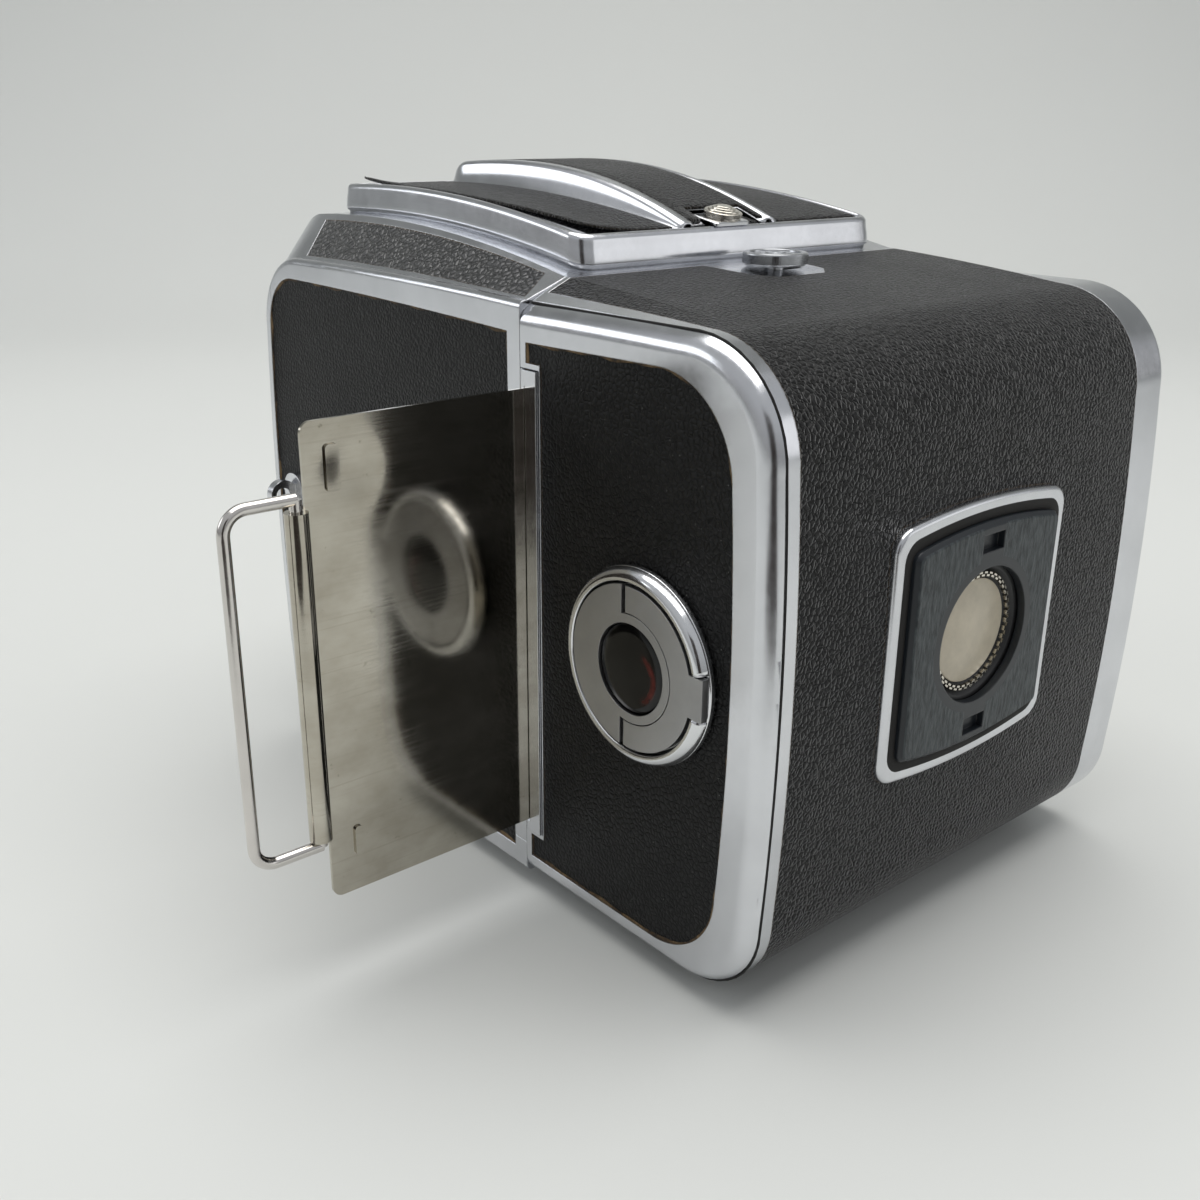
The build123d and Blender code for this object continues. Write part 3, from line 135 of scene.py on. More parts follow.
# Catch on the hood
BUTTON_Y = 36.4
TAB_X = (BAND_X - 3.3, BAND_X + 4.4)
TAB_Y = (33.6, 39.5)
TAB_CORNER = 0.7
TAB_LOW = RIM_RISE + 0.08
TAB_THICK = 0.6

# Colours
CHROME = (0.72, 0.73, 0.76)
TURNED = (0.74, 0.75, 0.76)
GLASS = (0.85, 0.87, 0.88)
PAPER = (0.7, 0.71, 0.69)


def mm(x, y, z):
    return Vector((x * MM, y * MM, z * MM))


def grey(value):
    return (value, value, value)


def darker(colour, share):
    return tuple(c * share for c in colour)


def progress(value, start, end):
    """0 up to the start, then a straight rise that passes 1 at the end."""
    return max(0.0, (value - start) / (end - start))


def deck_z(y):
    return ARCH_TOP_Z - ARCH_RADIUS + math.sqrt(ARCH_RADIUS ** 2 - (y - ARCH_TOP_Y) ** 2)


# Materials

class Shader:
    """Small helper round one material's node tree."""

    def __init__(self, name):
        self.mat = bpy.data.materials.new(name)
        self.mat.use_nodes = True
        self.tree = self.mat.node_tree
        self.bsdf = self.tree.nodes["Principled BSDF"]
        self.coord = self.tree.nodes.new("ShaderNodeTexCoord")

    def node(self, kind, **values):
        made = self.tree.nodes.new(kind)
        for key, value in values.items():
            setattr(made, key, value)
        return made

    def link(self, source, target):
        self.tree.links.new(source, target)

    def feed(self, socket, value):
        """Gives a socket a colour, a number or another node's output."""
        if isinstance(value, tuple):
            socket.default_value = (*value, 1.0)
        elif isinstance(value, (int, float)):
            socket.default_value = value
        else:
            self.link(value, socket)

    def set(self, **values):
        """Feeds the surface's own sockets, named with _ for a space."""
        for key, value in values.items():
            self.feed(self.bsdf.inputs[key.replace("_", " ")], value)

    def scaled(self, x, y=None, z=None):
        """Object coordinates times one scale, or one for each axis, in cells per metre."""
        made = self.node("ShaderNodeMapping")
        made.inputs["Scale"].default_value = (x, x if y is None else y, x if z is None else z)
        self.link(self.coord.outputs["Object"], made.inputs["Vector"])
        return made.outputs["Vector"]

    def axes(self):
        """Object coordinates as three numbers, in metres."""
        made = self.node("ShaderNodeSeparateXYZ")
        self.link(self.coord.outputs["Object"], made.inputs[0])
        return made.outputs

    def noise(self, vector, detail, rough, output="Fac"):
        made = self.node("ShaderNodeTexNoise")
        made.inputs["Scale"].default_value = 1.0
        made.inputs["Detail"].default_value = detail
        made.inputs["Roughness"].default_value = rough
        self.link(vector, made.inputs["Vector"])
        return made.outputs[output]

    def voronoi(self, vector, feature):
        made = self.node("ShaderNodeTexVoronoi", feature=feature)
        made.inputs["Scale"].default_value = 1.0
        self.link(vector, made.inputs["Vector"])
        return made.outputs["Distance"]

    def ramp(self, fac, *stops):
        """Colour ramp; each stop is (place, colour or grey)."""
        made = self.node("ShaderNodeValToRGB")
        elements = made.color_ramp.elements
        while len(elements) < len(stops):
            elements.new(0.5)
        for element, (place, colour) in zip(elements, stops):
            element.position = place
            element.color = (*(colour if isinstance(colour, tuple) else grey(colour)), 1.0)
        self.link(fac, made.inputs["Fac"])
        return made.outputs["Color"]

    def math(self, kind, a, b=None, clamp=False):
        made = self.node("ShaderNodeMath", operation=kind, use_clamp=clamp)
        for socket, value in zip(made.inputs, (a, b)):
            if value is not None:
                self.feed(socket, value)
        return made.outputs[0]

    def add(self, a, b):
        return self.math("ADD", a, b)

    def times(self, a, b):
        return self.math("MULTIPLY", a, b)

    def mix(self, fac, a, b):
        """Colour a where fac is 0, and b where it is 1."""
        made = self.node("ShaderNodeMix", data_type="RGBA")
        for socket, value in zip((made.inputs[0], made.inputs[6], made.inputs[7]), (fac, a, b)):
            self.feed(socket, value)
        return made.outputs[2]

    def radius(self, a, b, first="Y", second="Z"):
        """Distance in metres from the line through (a, b) mm of two axes."""
        axes = self.axes()
        da = self.math("SUBTRACT", axes[first], a * MM)
        db = self.math("SUBTRACT", axes[second], b * MM)
        return self.math("SQRT", self.add(self.times(da, da), self.times(db, db)))

    def inside(self, low, high):
        """1 inside a box given in mm, 0 outside."""
        axes = self.axes()
        mask = 1.0
        for i in range(3):
            over = self.math("GREATER_THAN", axes[i], low[i] * MM)
            under = self.math("LESS_THAN", axes[i], high[i] * MM)
            mask = self.times(mask, self.times(over, under))
        return mask

    def rounding(self, radius):
        """Normal of slightly rounded edges; radius in mm."""
        made = self.node("ShaderNodeBevel", samples=4)
        made.inputs["Radius"].default_value = radius * MM
        return made.outputs["Normal"]

    def edge(self, radius):
        """About 0 on flat places and up to 0.3 at an edge."""
        place = self.node("ShaderNodeNewGeometry")
        dot = self.node("ShaderNodeVectorMath", operation="DOT_PRODUCT")
        self.link(self.rounding(radius), dot.inputs[0])
        self.link(place.outputs["Normal"], dot.inputs[1])
        return self.math("SUBTRACT", 1.0, dot.outputs["Value"], clamp=True)

    def bump(self, height, strength, distance, edge_radius=0):
        """Bump of a height from 0 to 1 that stands for distance mm, with rounded edges or not."""
        made = self.node("ShaderNodeBump")
        made.inputs["Strength"].default_value = strength
        made.inputs["Distance"].default_value = distance * MM
        self.link(height, made.inputs["Height"])
        if edge_radius:
            self.link(self.rounding(edge_radius), made.inputs["Normal"])
        self.link(made.outputs["Normal"], self.bsdf.inputs["Normal"])


def leather_material(name, cell, depth, rough, tops, crack_shade, gloss, sheen=0.0):
    """Black pebbled leather with dust, painted shade in the cracks between its pebbles and a brown
    worn edge; cell and depth in mm.
    """
    warp_scale, warp_size, fine_scale, fine_height = 0.6, 0.8, 3.7, 0.3
    patch_scale, dust_scale, edge_radius = 38, 620, 0.35
    s = Shader(name)
    per = MM_PER_M / cell
    warp = s.noise(s.scaled(per * warp_scale), 2.0, 0.5, "Color")
    spread = s.node("ShaderNodeVectorMath", operation="SCALE")
    s.link(warp, spread.inputs[0])
    spread.inputs["Scale"].default_value = warp_size
    shifted = s.node("ShaderNodeVectorMath", operation="ADD")
    s.link(s.scaled(per), shifted.inputs[0])
    s.link(spread.outputs[0], shifted.inputs[1])
    pebbles = s.voronoi(shifted.outputs[0], "DISTANCE_TO_EDGE")
    swell = s.ramp(pebbles, (0.0, 0.0), (0.16, 0.62), (0.45, 1.0))
    fine = s.noise(s.scaled(per * fine_scale), 3.0, 0.65)
    s.bump(s.add(swell, s.times(fine, fine_height)), 1.0, depth)
    # Painted shade: the cracks between the pebbles get a darker colour than their tops.
    colour = s.ramp(swell, (0.1, crack_shade), (0.8, (tops, tops, tops * 1.04)))
    patch = s.noise(s.scaled(patch_scale), 3.0, 0.55)
    dust = s.ramp(s.voronoi(s.scaled(dust_scale), "F1"), (0.035, 1.0), (0.055, 0.0))
    colour = s.mix(dust, colour, (0.22, 0.22, 0.21))
    worn = s.ramp(s.add(s.edge(edge_radius), s.times(patch, 0.06)), (0.07, 0.0), (0.13, 1.0))
    brown = s.ramp(fine, (0.35, (0.03, 0.017, 0.007)), (0.7, (0.12, 0.075, 0.03)))
    s.set(Base_Color=s.mix(worn, colour, brown), Specular_IOR_Level=gloss,
          Sheen_Weight=sheen, Sheen_Roughness=0.2)
    s.set(Roughness=s.ramp(patch, (0.3, rough - 0.05), (0.75, rough + 0.07)))
    return s.mat


def metal(name, colour, rough, spread=0.05, grain=(700, 700, 700), depth=0.0016,
          edge_radius=0.18, wave=0.0):
    """Shader of worn polished metal; spread and wave change its roughness and flatness."""
    s = Shader(name)
    marks = s.noise(s.scaled(*grain), 4.0, 0.65)
    cloud = s.noise(s.scaled(70), 4.0, 0.6)
    s.set(Metallic=1.0, Base_Color=s.ramp(cloud, (0.32, darker(colour, 0.86)), (0.66, colour)))
    smear = s.add(s.times(marks, 0.55), s.times(cloud, 0.45))
    s.set(Roughness=s.ramp(smear, (0.35, max(0.02, rough - spread)), (0.65, rough + spread)))
    height = marks
    if wave:
        height = s.add(marks, s.times(s.noise(s.scaled(160), 1.0, 0.5), wave))
    s.bump(height, 0.7, depth, edge_radius)
    return s


def metal_material(name, colour, rough, **finish):
    return metal(name, colour, rough, **finish).mat


def casting_material(name, boxes):
    """Polished casting whose inside, given as boxes in mm, is painted matte black."""
    s = metal(name, CHROME, 0.19, 0.06, (500, 500, 500), edge_radius=0.3, wave=4.0)
    mask = s.inside(*boxes[0])
    for low, high in boxes[1:]:
        mask = s.math("MAXIMUM", mask, s.inside(low, high))
    for key, black in (("Base Color", (0.012, 0.012, 0.013)), ("Roughness", grey(0.62))):
        socket = s.bsdf.inputs[key]
        s.feed(socket, s.mix(mask, socket.links[0].from_socket, black))
    s.set(Metallic=s.math("SUBTRACT", 1.0, mask))
    return s.mat


def turned_material(name, colour, rough, y, z):
    """Metal turned on a lathe: fine rings round an axis along X at (y, z) mm."""
    pitch, depth = 0.11, 0.0022
    s = Shader(name)
    turns = s.times(s.radius(y, z), MM_PER_M / pitch)
    lines = s.add(s.times(s.math("SINE", turns), 0.5), 0.5)
    marks = s.noise(s.scaled(900), 3.0, 0.6)
    cloud = s.noise(s.scaled(90), 3.0, 0.6)
    s.set(Metallic=1.0, Anisotropic=0.4)
    s.set(Base_Color=s.ramp(cloud, (0.3, darker(colour, 0.85)), (0.7, colour)))
    s.set(Roughness=s.ramp(marks, (0.3, rough - 0.05), (0.7, rough + 0.07)))
    s.bump(s.add(s.times(lines, 0.5), s.times(marks, 0.5)), 0.6, depth, 0.12)
    return s.mat


def blade_material():
    """Thin ground steel sheet: long scratches, cloudy stains and a dent by the grip."""
    dent_x, dent_z, dent_size = 75.0, 76.0, 4.2
    along_depth, cross_depth, broad_depth, dent_depth = 0.0012, 0.0006, 0.08, -0.35
    s = Shader("blade_steel")
    along = s.noise(s.scaled(30, 900, 3600), 4.0, 0.7)
    cross = s.noise(s.scaled(700, 900, 500), 4.0, 0.7)
    stain = s.noise(s.scaled(60, 60, 90), 4.0, 0.65)
    lines = s.noise(s.scaled(16, 300, 2600), 3.0, 0.75)
    specks = s.noise(s.scaled(520, 520, 420), 3.0, 0.75)
    broad = s.noise(s.scaled(26, 26, 40), 1.0, 0.5)
    tint = s.ramp(stain, (0.3, (0.36, 0.33, 0.27)), (0.7, (0.56, 0.53, 0.46)))
    scratch = s.ramp(lines, (0.3, 0.35), (0.42, 0.0), (0.6, 0.0), (0.72, 0.22))
    tint = s.mix(scratch, tint, (0.3, 0.27, 0.22))
    spots = s.ramp(specks, (0.66, 0.0), (0.74, 0.6))
    s.set(Metallic=1.0, Base_Color=s.mix(spots, tint, (0.16, 0.14, 0.1)))
    smear = s.add(s.times(along, 0.6), s.times(stain, 0.4))
    s.set(Roughness=s.ramp(smear, (0.35, 0.06), (0.7, 0.17)))
    off = s.math("DIVIDE", s.radius(dent_x, dent_z, "X", "Z"), dent_size * MM)
    dent = s.math("POWER", 2.718, s.times(s.times(off, off), -1.0))
    height = s.add(s.times(along, along_depth), s.times(cross, cross_depth))
    height = s.add(height, s.times(broad, broad_depth))
    s.bump(s.add(height, s.times(dent, dent_depth)), 1.0, 1.0)
    return s.mat


def plain_material(name, colour, rough, grain=900, depth=0.01):
    """Paint, enamel or plastic with fine specks and faint clouds."""
    s = Shader(name)
    speck = s.noise(s.scaled(grain), 3.0, 0.6)
    cloud = s.noise(s.scaled(80), 3.0, 0.6)
    tint = s.ramp(speck, (0.3, darker(colour, 0.86)), (0.7, colour))
    s.set(Base_Color=s.mix(s.ramp(cloud, (0.45, 0.0), (0.8, 0.35)), tint, darker(colour, 0.7)))
    s.set(Roughness=s.ramp(cloud, (0.3, rough - 0.06), (0.7, rough + 0.06)))
    s.bump(speck, 0.6, depth, 0.15)
    return s.mat


def holder_material():
    """Blue-grey moulding with upright streaks, smooth and dark in the middle and round the window;
    the same dark colour on its sides below the face is painted shade.
    """
    strip_half, window_radius = 2.6, 11.6
    s = Shader("streaked_moulding")
    streaks = s.noise(s.scaled(1500, 600, 420), 3.0, 0.6)
    axes = s.axes()
    off_x = s.math("ABSOLUTE", s.math("SUBTRACT", axes["X"], DIAL_X * MM))
    aside = s.math("GREATER_THAN", off_x, strip_half * MM)
    out = s.math("GREATER_THAN", s.radius(DIAL_X, DIAL_Z, "X", "Z"), window_radius * MM)
    raised = s.math("GREATER_THAN", axes["Y"], HOLDER_FACE_Y * MM)
    # Painted shade: the block's sides below its face take the dark colour as well.
    field = s.times(s.times(aside, out), raised)
    tint = s.ramp(streaks, (0.36, (0.008, 0.012, 0.015)), (0.5, (0.03, 0.038, 0.042)),
                  (0.66, (0.055, 0.066, 0.07)))
    s.set(Base_Color=s.mix(field, (0.012, 0.015, 0.019), tint))
    s.set(Roughness=s.mix(field, grey(0.34), grey(0.46)))
    s.bump(s.times(s.add(streaks, 0.4), field), 0.9, 0.3, 0.3)
    return s.mat


def glass_material(name, rough):
    s = Shader(name)
    s.set(Base_Color=GLASS, Transmission_Weight=1.0, IOR=1.5)
    haze = s.noise(s.scaled(300), 3.0, 0.6)
    s.set(Roughness=s.ramp(haze, (0.3, max(0.0, rough - 0.02)), (0.7, rough + 0.03)))
    s.bump(haze, 0.2, 0.002)
    return s.mat


def window_material():
    """Near black window of the key with a dull reddish arc low on its rear side."""
    arc_y, arc_z = KEY_Y + 1.0, KEY_Z - 0.9
    s = Shader("dark_window")
    dust = s.noise(s.scaled(700), 3.0, 0.7)
    ring = s.ramp(s.times(s.radius(arc_y, arc_z), PER_CM), (0.27, 0.0), (0.35, 1.0), (0.42, 0.0))
    off = s.math("SUBTRACT", s.axes()["Y"], KEY_Y * MM)
    side = s.ramp(s.times(off, PER_CM), (0.18, 0.0), (0.34, 1.0))
    mark = s.times(s.times(ring, side), s.ramp(dust, (0.3, 0.35), (0.6, 1.0)))
    s.set(Base_Color=s.mix(mark, grey(0.003), (0.11, 0.016, 0.012)))
    s.set(Specular_IOR_Level=0.22, Coat_Weight=0.15)
    s.set(Roughness=s.ramp(dust, (0.4, 0.1), (0.8, 0.2)))
    s.bump(dust, 0.15, 0.002)
    return s.mat


def aged_edge_material():
    """Frayed brown and olive rim of a covering."""
    s = Shader("aged_edge")
    patch = s.noise(s.scaled(260), 4.0, 0.7)
    fine = s.noise(s.scaled(2200), 3.0, 0.7)
    tint = s.ramp(patch, (0.38, (0.008, 0.006, 0.005)), (0.5, (0.06, 0.035, 0.014)),
                  (0.6, (0.17, 0.11, 0.05)))
    s.set(Base_Color=tint, Roughness=0.75)
    s.bump(fine, 0.8, 0.08)
    return s.mat


leather = leather_material("grain_leather", 0.82, 0.24, 0.38, tops=0.012, crack_shade=0.001,
                           gloss=0.2, sheen=0.32)
# Painted shade: a darker copy of the same leather for the panels on the sides, which lie in shade.
shaded_side_leather = leather_material("shaded_side_leather", 0.85, 0.15, 0.42, tops=0.008, crack_shade=0.001,
                                gloss=0.22)
coarse_leather = leather_material("coarse_leather", 1.05, 0.4, 0.3, tops=0.05, crack_shade=0.003,
                                  gloss=0.9)
trim = metal_material("polished_trim", CHROME, 0.19, wave=3.0)
aged_edge = aged_edge_material()
seam_shadow = plain_material("seam_shadow", (0.012, 0.011, 0.01), 0.8, grain=3000)
button_nickel = metal_material("button_nickel", (0.74, 0.7, 0.62), 0.24, depth=0.0004,
                               edge_radius=0)
polished = metal_material("polished_ring", (0.82, 0.83, 0.85), 0.16, depth=0.0008, edge_radius=0)
# Boxes of the mirror chamber and the deck's well, then of the magazine's film room
body_casting = casting_material("body_casting", [
    ((-42, -34.38, 8.5), (42, 40.9, 95.2)), ((-31.4, -24.9, 90), (31.4, 38.1, 102.4))])
magazine_casting = casting_material("magazine_casting", [
    ((-43.3, 43.2, 5.9), (43.25, 74.5, 91.9)), ((-43.3, 43.2, 16.5), (43.25, 88.7, 79.3))])
nickel = metal_material("nickel", (0.6, 0.57, 0.52), 0.27)
satin = metal_material("satin_metal", grey(0.6), 0.34, grain=(1400, 1400, 160))
steel = metal_material("steel", grey(0.56), 0.25)
wire = metal_material("nickelled_wire", (0.72, 0.69, 0.66), 0.16, edge_radius=0)
key_face = turned_material("key_face", (0.42, 0.42, 0.425), 0.33, KEY_Y, KEY_Z)
knob_metal = turned_material("knob_metal", TURNED, 0.22, KNOB_Y, KNOB_Z)
film_knob_metal = turned_material("film_knob_metal", TURNED, 0.22, FILM_KNOB_Y, FILM_KNOB_Z)
button_metal = metal_material("button_metal", (0.5, 0.51, 0.53), 0.22, depth=0.0006,
                              edge_radius=0)
blade_steel = blade_material()
black_metal = plain_material("black_paint", (0.015, 0.015, 0.016), 0.5)
plastic = holder_material()
spool_plastic = plain_material("spool_plastic", (0.02, 0.02, 0.022), 0.4)
cream = plain_material("cream_enamel", (0.56, 0.5, 0.39), 0.34, grain=500, depth=0.006)
brass = metal_material("brass", (0.72, 0.56, 0.28), 0.28)
mirror_glass = metal_material("silvered_glass", grey(0.9), 0.04, spread=0.02, depth=0.0003)
ground_glass = glass_material("ground_glass", 0.45)
clear_glass = glass_material("clear_glass", 0.03)
dark_window = window_material()

# CAD nodes that stay visible, by material; the mesh pieces below stand for the others
USES = {
    leather: ["front_leather", "magazine_leather"],
    shaded_side_leather: ["left_side_leather", "right_side_leather", "magazine_side_leather",
                   "insert_leather"],
    coarse_leather: ["shoulder_leathers"],
    body_casting: ["body_shell", "front_and_floor_plates"],
    magazine_casting: ["magazine_shell"],
    trim: ["lens_mount_ring", "insert_plate", "reminder_frame", "slide_slot_strip", "strap_lugs",
           "lens_catch_button", "shutter_release_button"],
    knob_metal: ["speed_dial", "winding_knob"],
    film_knob_metal: ["film_knob"],
    polished: ["release_plate"],
    nickel: ["tripod_foot"],
    satin: ["film_gate", "insert_frame"],
    key_face: ["key_disc", "key_flap"],
    steel: ["lens_mount_screws", "foot_screws", "tripod_socket", "hinge_pins", "magnifier_pin",
            "magazine_hooks", "left_curtain_drum", "right_curtain_drum", "shutter_curtain"],
    wire: ["dark_slide_handle"],
    blade_steel: ["dark_slide_blade"],
    black_metal: ["mirror_frame", "screen_frame", "shutter_frame", "hood_side_flaps",
                  "rear_hood_flap", "magnifier_frame", "pressure_plate"],
    mirror_glass: ["mirror_glass"],
    ground_glass: ["focusing_screen"],
    clear_glass: ["magnifier_lens"],
    plastic: ["reminder_holder"],
    spool_plastic: ["takeup_spool"],
    brass: ["body_gear", "magazine_gear"],
}


def paint(obj, mat):
    if not obj.material_slots:
        obj.data.materials.append(mat)
    for slot in obj.material_slots:
        slot.link = "OBJECT"
        slot.material = mat


for material, names in USES.items():
    for name in names:
        paint(nodes[name], material)


# Mesh helpers

def mesh_object(name, bm, material, smooth=True):
    """Object in the scene made from a bmesh, which is used up."""
    mesh = bpy.data.meshes.new(name)
    bm.to_mesh(mesh)
    bm.free()
    for polygon in mesh.polygons:
        polygon.use_smooth = smooth
    obj = bpy.data.objects.new(name, mesh)
    bpy.context.collection.objects.link(obj)
    obj.data.materials.append(material)
    return obj


def piece(name, bm, material, body, smooth=True):
    """Finished piece that rides on a body and takes its finish from a material slot."""
    bmesh.ops.recalc_face_normals(bm, faces=bm.faces)
    obj = mesh_object(name, bm, material, smooth)
    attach(obj, body)
    return obj


def loft(bm, rows, closed_rows=False, closed=False, capped=False):
    """Quads between rows of points with equal counts, with faces on both end rows or not."""
    made = [[bm.verts.new(p) for p in row] for row in rows]
    pairs = list(zip(made, made[1:]))
    if closed:
        pairs.append((made[-1], made[0]))
    for a, b in pairs:
        count = len(a)
        for i in range(count if closed_rows else count - 1):
            k = (i + 1) % count
            bm.faces.new((a[i], a[k], b[k], b[i]))
    if capped:
        bm.faces.new(made[0])
        bm.faces.new(made[-1])
    return bm


def turned(bm, profile, place, steps=96, start=0.0, sweep=360.0):
    """Closed profile of (radius, height) in mm turned round the Z axis of a placing matrix."""
    whole = sweep >= 360.0
    rows = []
    for i in range(steps if whole else steps + 1):
        angle = math.radians(start + sweep * i / steps)
        rows.append([place @ mm(r * math.cos(angle), r * math.sin(angle), h)
                     for r, h in profile])
    loft(bm, rows, True, whole, not whole)
    bmesh.ops.remove_doubles(bm, verts=bm.verts, dist=SAME_PLACE * MM)
    return bm


def along_x(x, y, z):
    """Matrix that turns a profile's axis to +X, with its angles from the rear upwards."""
    turn = Matrix(((0, 0, 1), (1, 0, 0), (0, 1, 0))).to_4x4()
    return Matrix.Translation(mm(x, y, z)) @ turn


def quarter(cx, cy, rx, ry, a0, a1, steps=6):
    """Points of an elliptic arc between two angles in degrees."""
    angles = [math.radians(a0 + (a1 - a0) * i / steps) for i in range(steps + 1)]
    return [(cx + rx * math.cos(a), cy + ry * math.sin(a)) for a in angles]


def rounded(x0, x1, y0, y1, radius, corner, sides=(1, 1, 1, 1)):
    """Rounded rectangle, anticlockwise from the corner at (x1, y1); corner and sides are steps."""
    centres = ((x1 - radius, y1 - radius), (x0 + radius, y1 - radius),
               (x0 + radius, y0 + radius), (x1 - radius, y0 + radius))
    arcs = [quarter(cx, cy, radius, radius, 90 * i, 90 * i + 90, corner)
            for i, (cx, cy) in enumerate(centres)]
    made = []
    for arc, after, steps in zip(arcs, arcs[1:] + arcs[:1], sides):
        (xa, ya), (xb, yb) = arc[-1], after[0]
        made += arc
        made += [(xa + (xb - xa) * i / steps, ya + (yb - ya) * i / steps)
                 for i in range(1, steps)]
    return made


def run_of(steps):
    """Points (y, z) of an outline: a pair is a corner, ("arc", centre, radius, from, to) an arc,
    and ("bow", middle, end) a curve from the last point through the middle."""
    made = []
    for step in steps:
        if step[0] == "arc":
            _, (cy, cz), radius, a0, a1 = step
            made += quarter(cy, cz, radius, radius, a0, a1, 10)
        elif step[0] == "bow":
            _, mid, end = step
            first = made[-1]
            pull = [2 * mid[k] - (first[k] + end[k]) / 2 for k in (0, 1)]
            for t in [i / 16 for i in range(1, 17)]:
                made.append(tuple((1 - t) ** 2 * first[k] + 2 * t * (1 - t) * pull[k]
                                  + t ** 2 * end[k] for k in (0, 1)))
        else:
            made.append(step)
    return made


def resample(points, pitch):
    """The same run with points about pitch mm apart."""
    made = [points[0]]
    for a, b in zip(points, points[1:]):
        count = max(1, int(math.dist(a, b) / pitch))
        made += [tuple(a[k] + (b[k] - a[k]) * (i + 1) / count for k in (0, 1))
                 for i in range(count)]
    return made


def normals_of(points, closed):
    """Unit normals of a run in its own plane, to the left of its direction."""
    count = len(points)
    made = []
    for i in range(count):
        a = points[i - 1] if closed or i else points[0]
        b = points[(i + 1) % count] if closed or i < count - 1 else points[-1]
        dy, dz = b[0] - a[0], b[1] - a[1]
        size = math.hypot(dy, dz) or 1.0
        made.append((-dz / size, dy / size))
    return made


def bead_line(points, x, across, out, closed=False):
    """Low bead of six sides along a run at the height x; across(i) is its half width in mm."""
    angles = [math.radians(60 * k) for k in range(6)]
    rows = []
    for i, ((y, z), (ny, nz)) in enumerate(zip(points, normals_of(points, closed))):
        half = across(i)
        rows.append([mm(x + out * math.sin(a), y + ny * half * math.cos(a),
                        z + nz * half * math.cos(a)) for a in angles])
    return loft(bmesh.new(), rows, True, closed, not closed)


def frayed(base, change):
    """Half width that wanders along a covering's edge in short and long waves."""
    short, long = 0.37, 0.113
    return lambda i: base + change * math.sin(i * short) * math.sin(i * long + 1.0)


# Coverings of the lid's wings

def wing_lift(u, v):
    """Height in mm by which the near covering is loose, at its two outer corners."""
    rear_lift, front_lift = 1.15, 1.3
    rear = rear_lift * progress(u, 0.35, 1.0) ** 1.6 * progress(v, 0.45, 1.0) ** 1.5
    front = front_lift * progress(u, 0.6, 1.0) ** 2 * progress(v, 0.22, 0.0) ** 1.5
    return rear + front


def wing_point(side, u, v, height):
    """Point of a wing's covering: u runs outwards and v to the rear, both from 0 to 1."""
    near = side > 0
    side_gap, far_shrink, near_shrink, near_pull = 0.5, 0.15, 1.5, 1.1
    y = LID_FRONT_Y + WING_GAP + (LID_REAR_Y - LID_FRONT_Y - WING_GAPS) * v
    shrink = near_shrink * progress(v, 0.55, 1.0) ** 2 * u if near else far_shrink
    back = near_pull * u ** 3 * progress(v, 0.7, 1.0) if near else 0.0
    x_in = BAND_X + side * (WING_INNER - WING_TAPER * progress(y, WING_TAPER_Y, LID_REAR_Y))
    x_out = side * (LID_HALF - side_gap - shrink)
    lift = wing_lift(u, v) if near else 0.0
    return mm(x_in + (x_out - x_in) * u, y - back, deck_z(y) + WING_RISE + height + lift)


def wing_covering(side):
    """Covering of one lid wing as a bowed sheet with a soft edge."""
    bm = bmesh.new()
    across, along, soft = 28, 56, 0.12
    layers = []
    for thick in (0.0, WING_THICK):
        rows = []
        for j in range(along + 1):
            row = []
            for i in range(across + 1):
                border = i in (0, across) or j in (0, along)
                height = thick - soft if thick and border else thick
                row.append(bm.verts.new(wing_point(side, i / across, j / along, height)))
            rows.append(row)
        layers.append(rows)
        for j in range(along):
            for i in range(across):
                bm.faces.new((rows[j][i], rows[j][i + 1], rows[j + 1][i + 1], rows[j + 1][i]))
    low, high = layers
    rim = [(j, 0) for j in range(along)] + [(along, i) for i in range(across)]
    rim += [(along - j, across) for j in range(along)] + [(0, across - i) for i in range(across)]
    for (j, i), (n, m) in zip(rim, rim[1:] + rim[:1]):
        bm.faces.new((low[j][i], low[n][m], high[n][m], high[j][i]))
    return bm


near_wing = piece("near_wing_covering", wing_covering(1), leather, "hood_lid")
far_wing = piece("far_wing_covering", wing_covering(-1), leather, "hood_lid")
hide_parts("lid_wing_leathers")
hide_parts("lid_wing_leathers")


# Key of the film insert

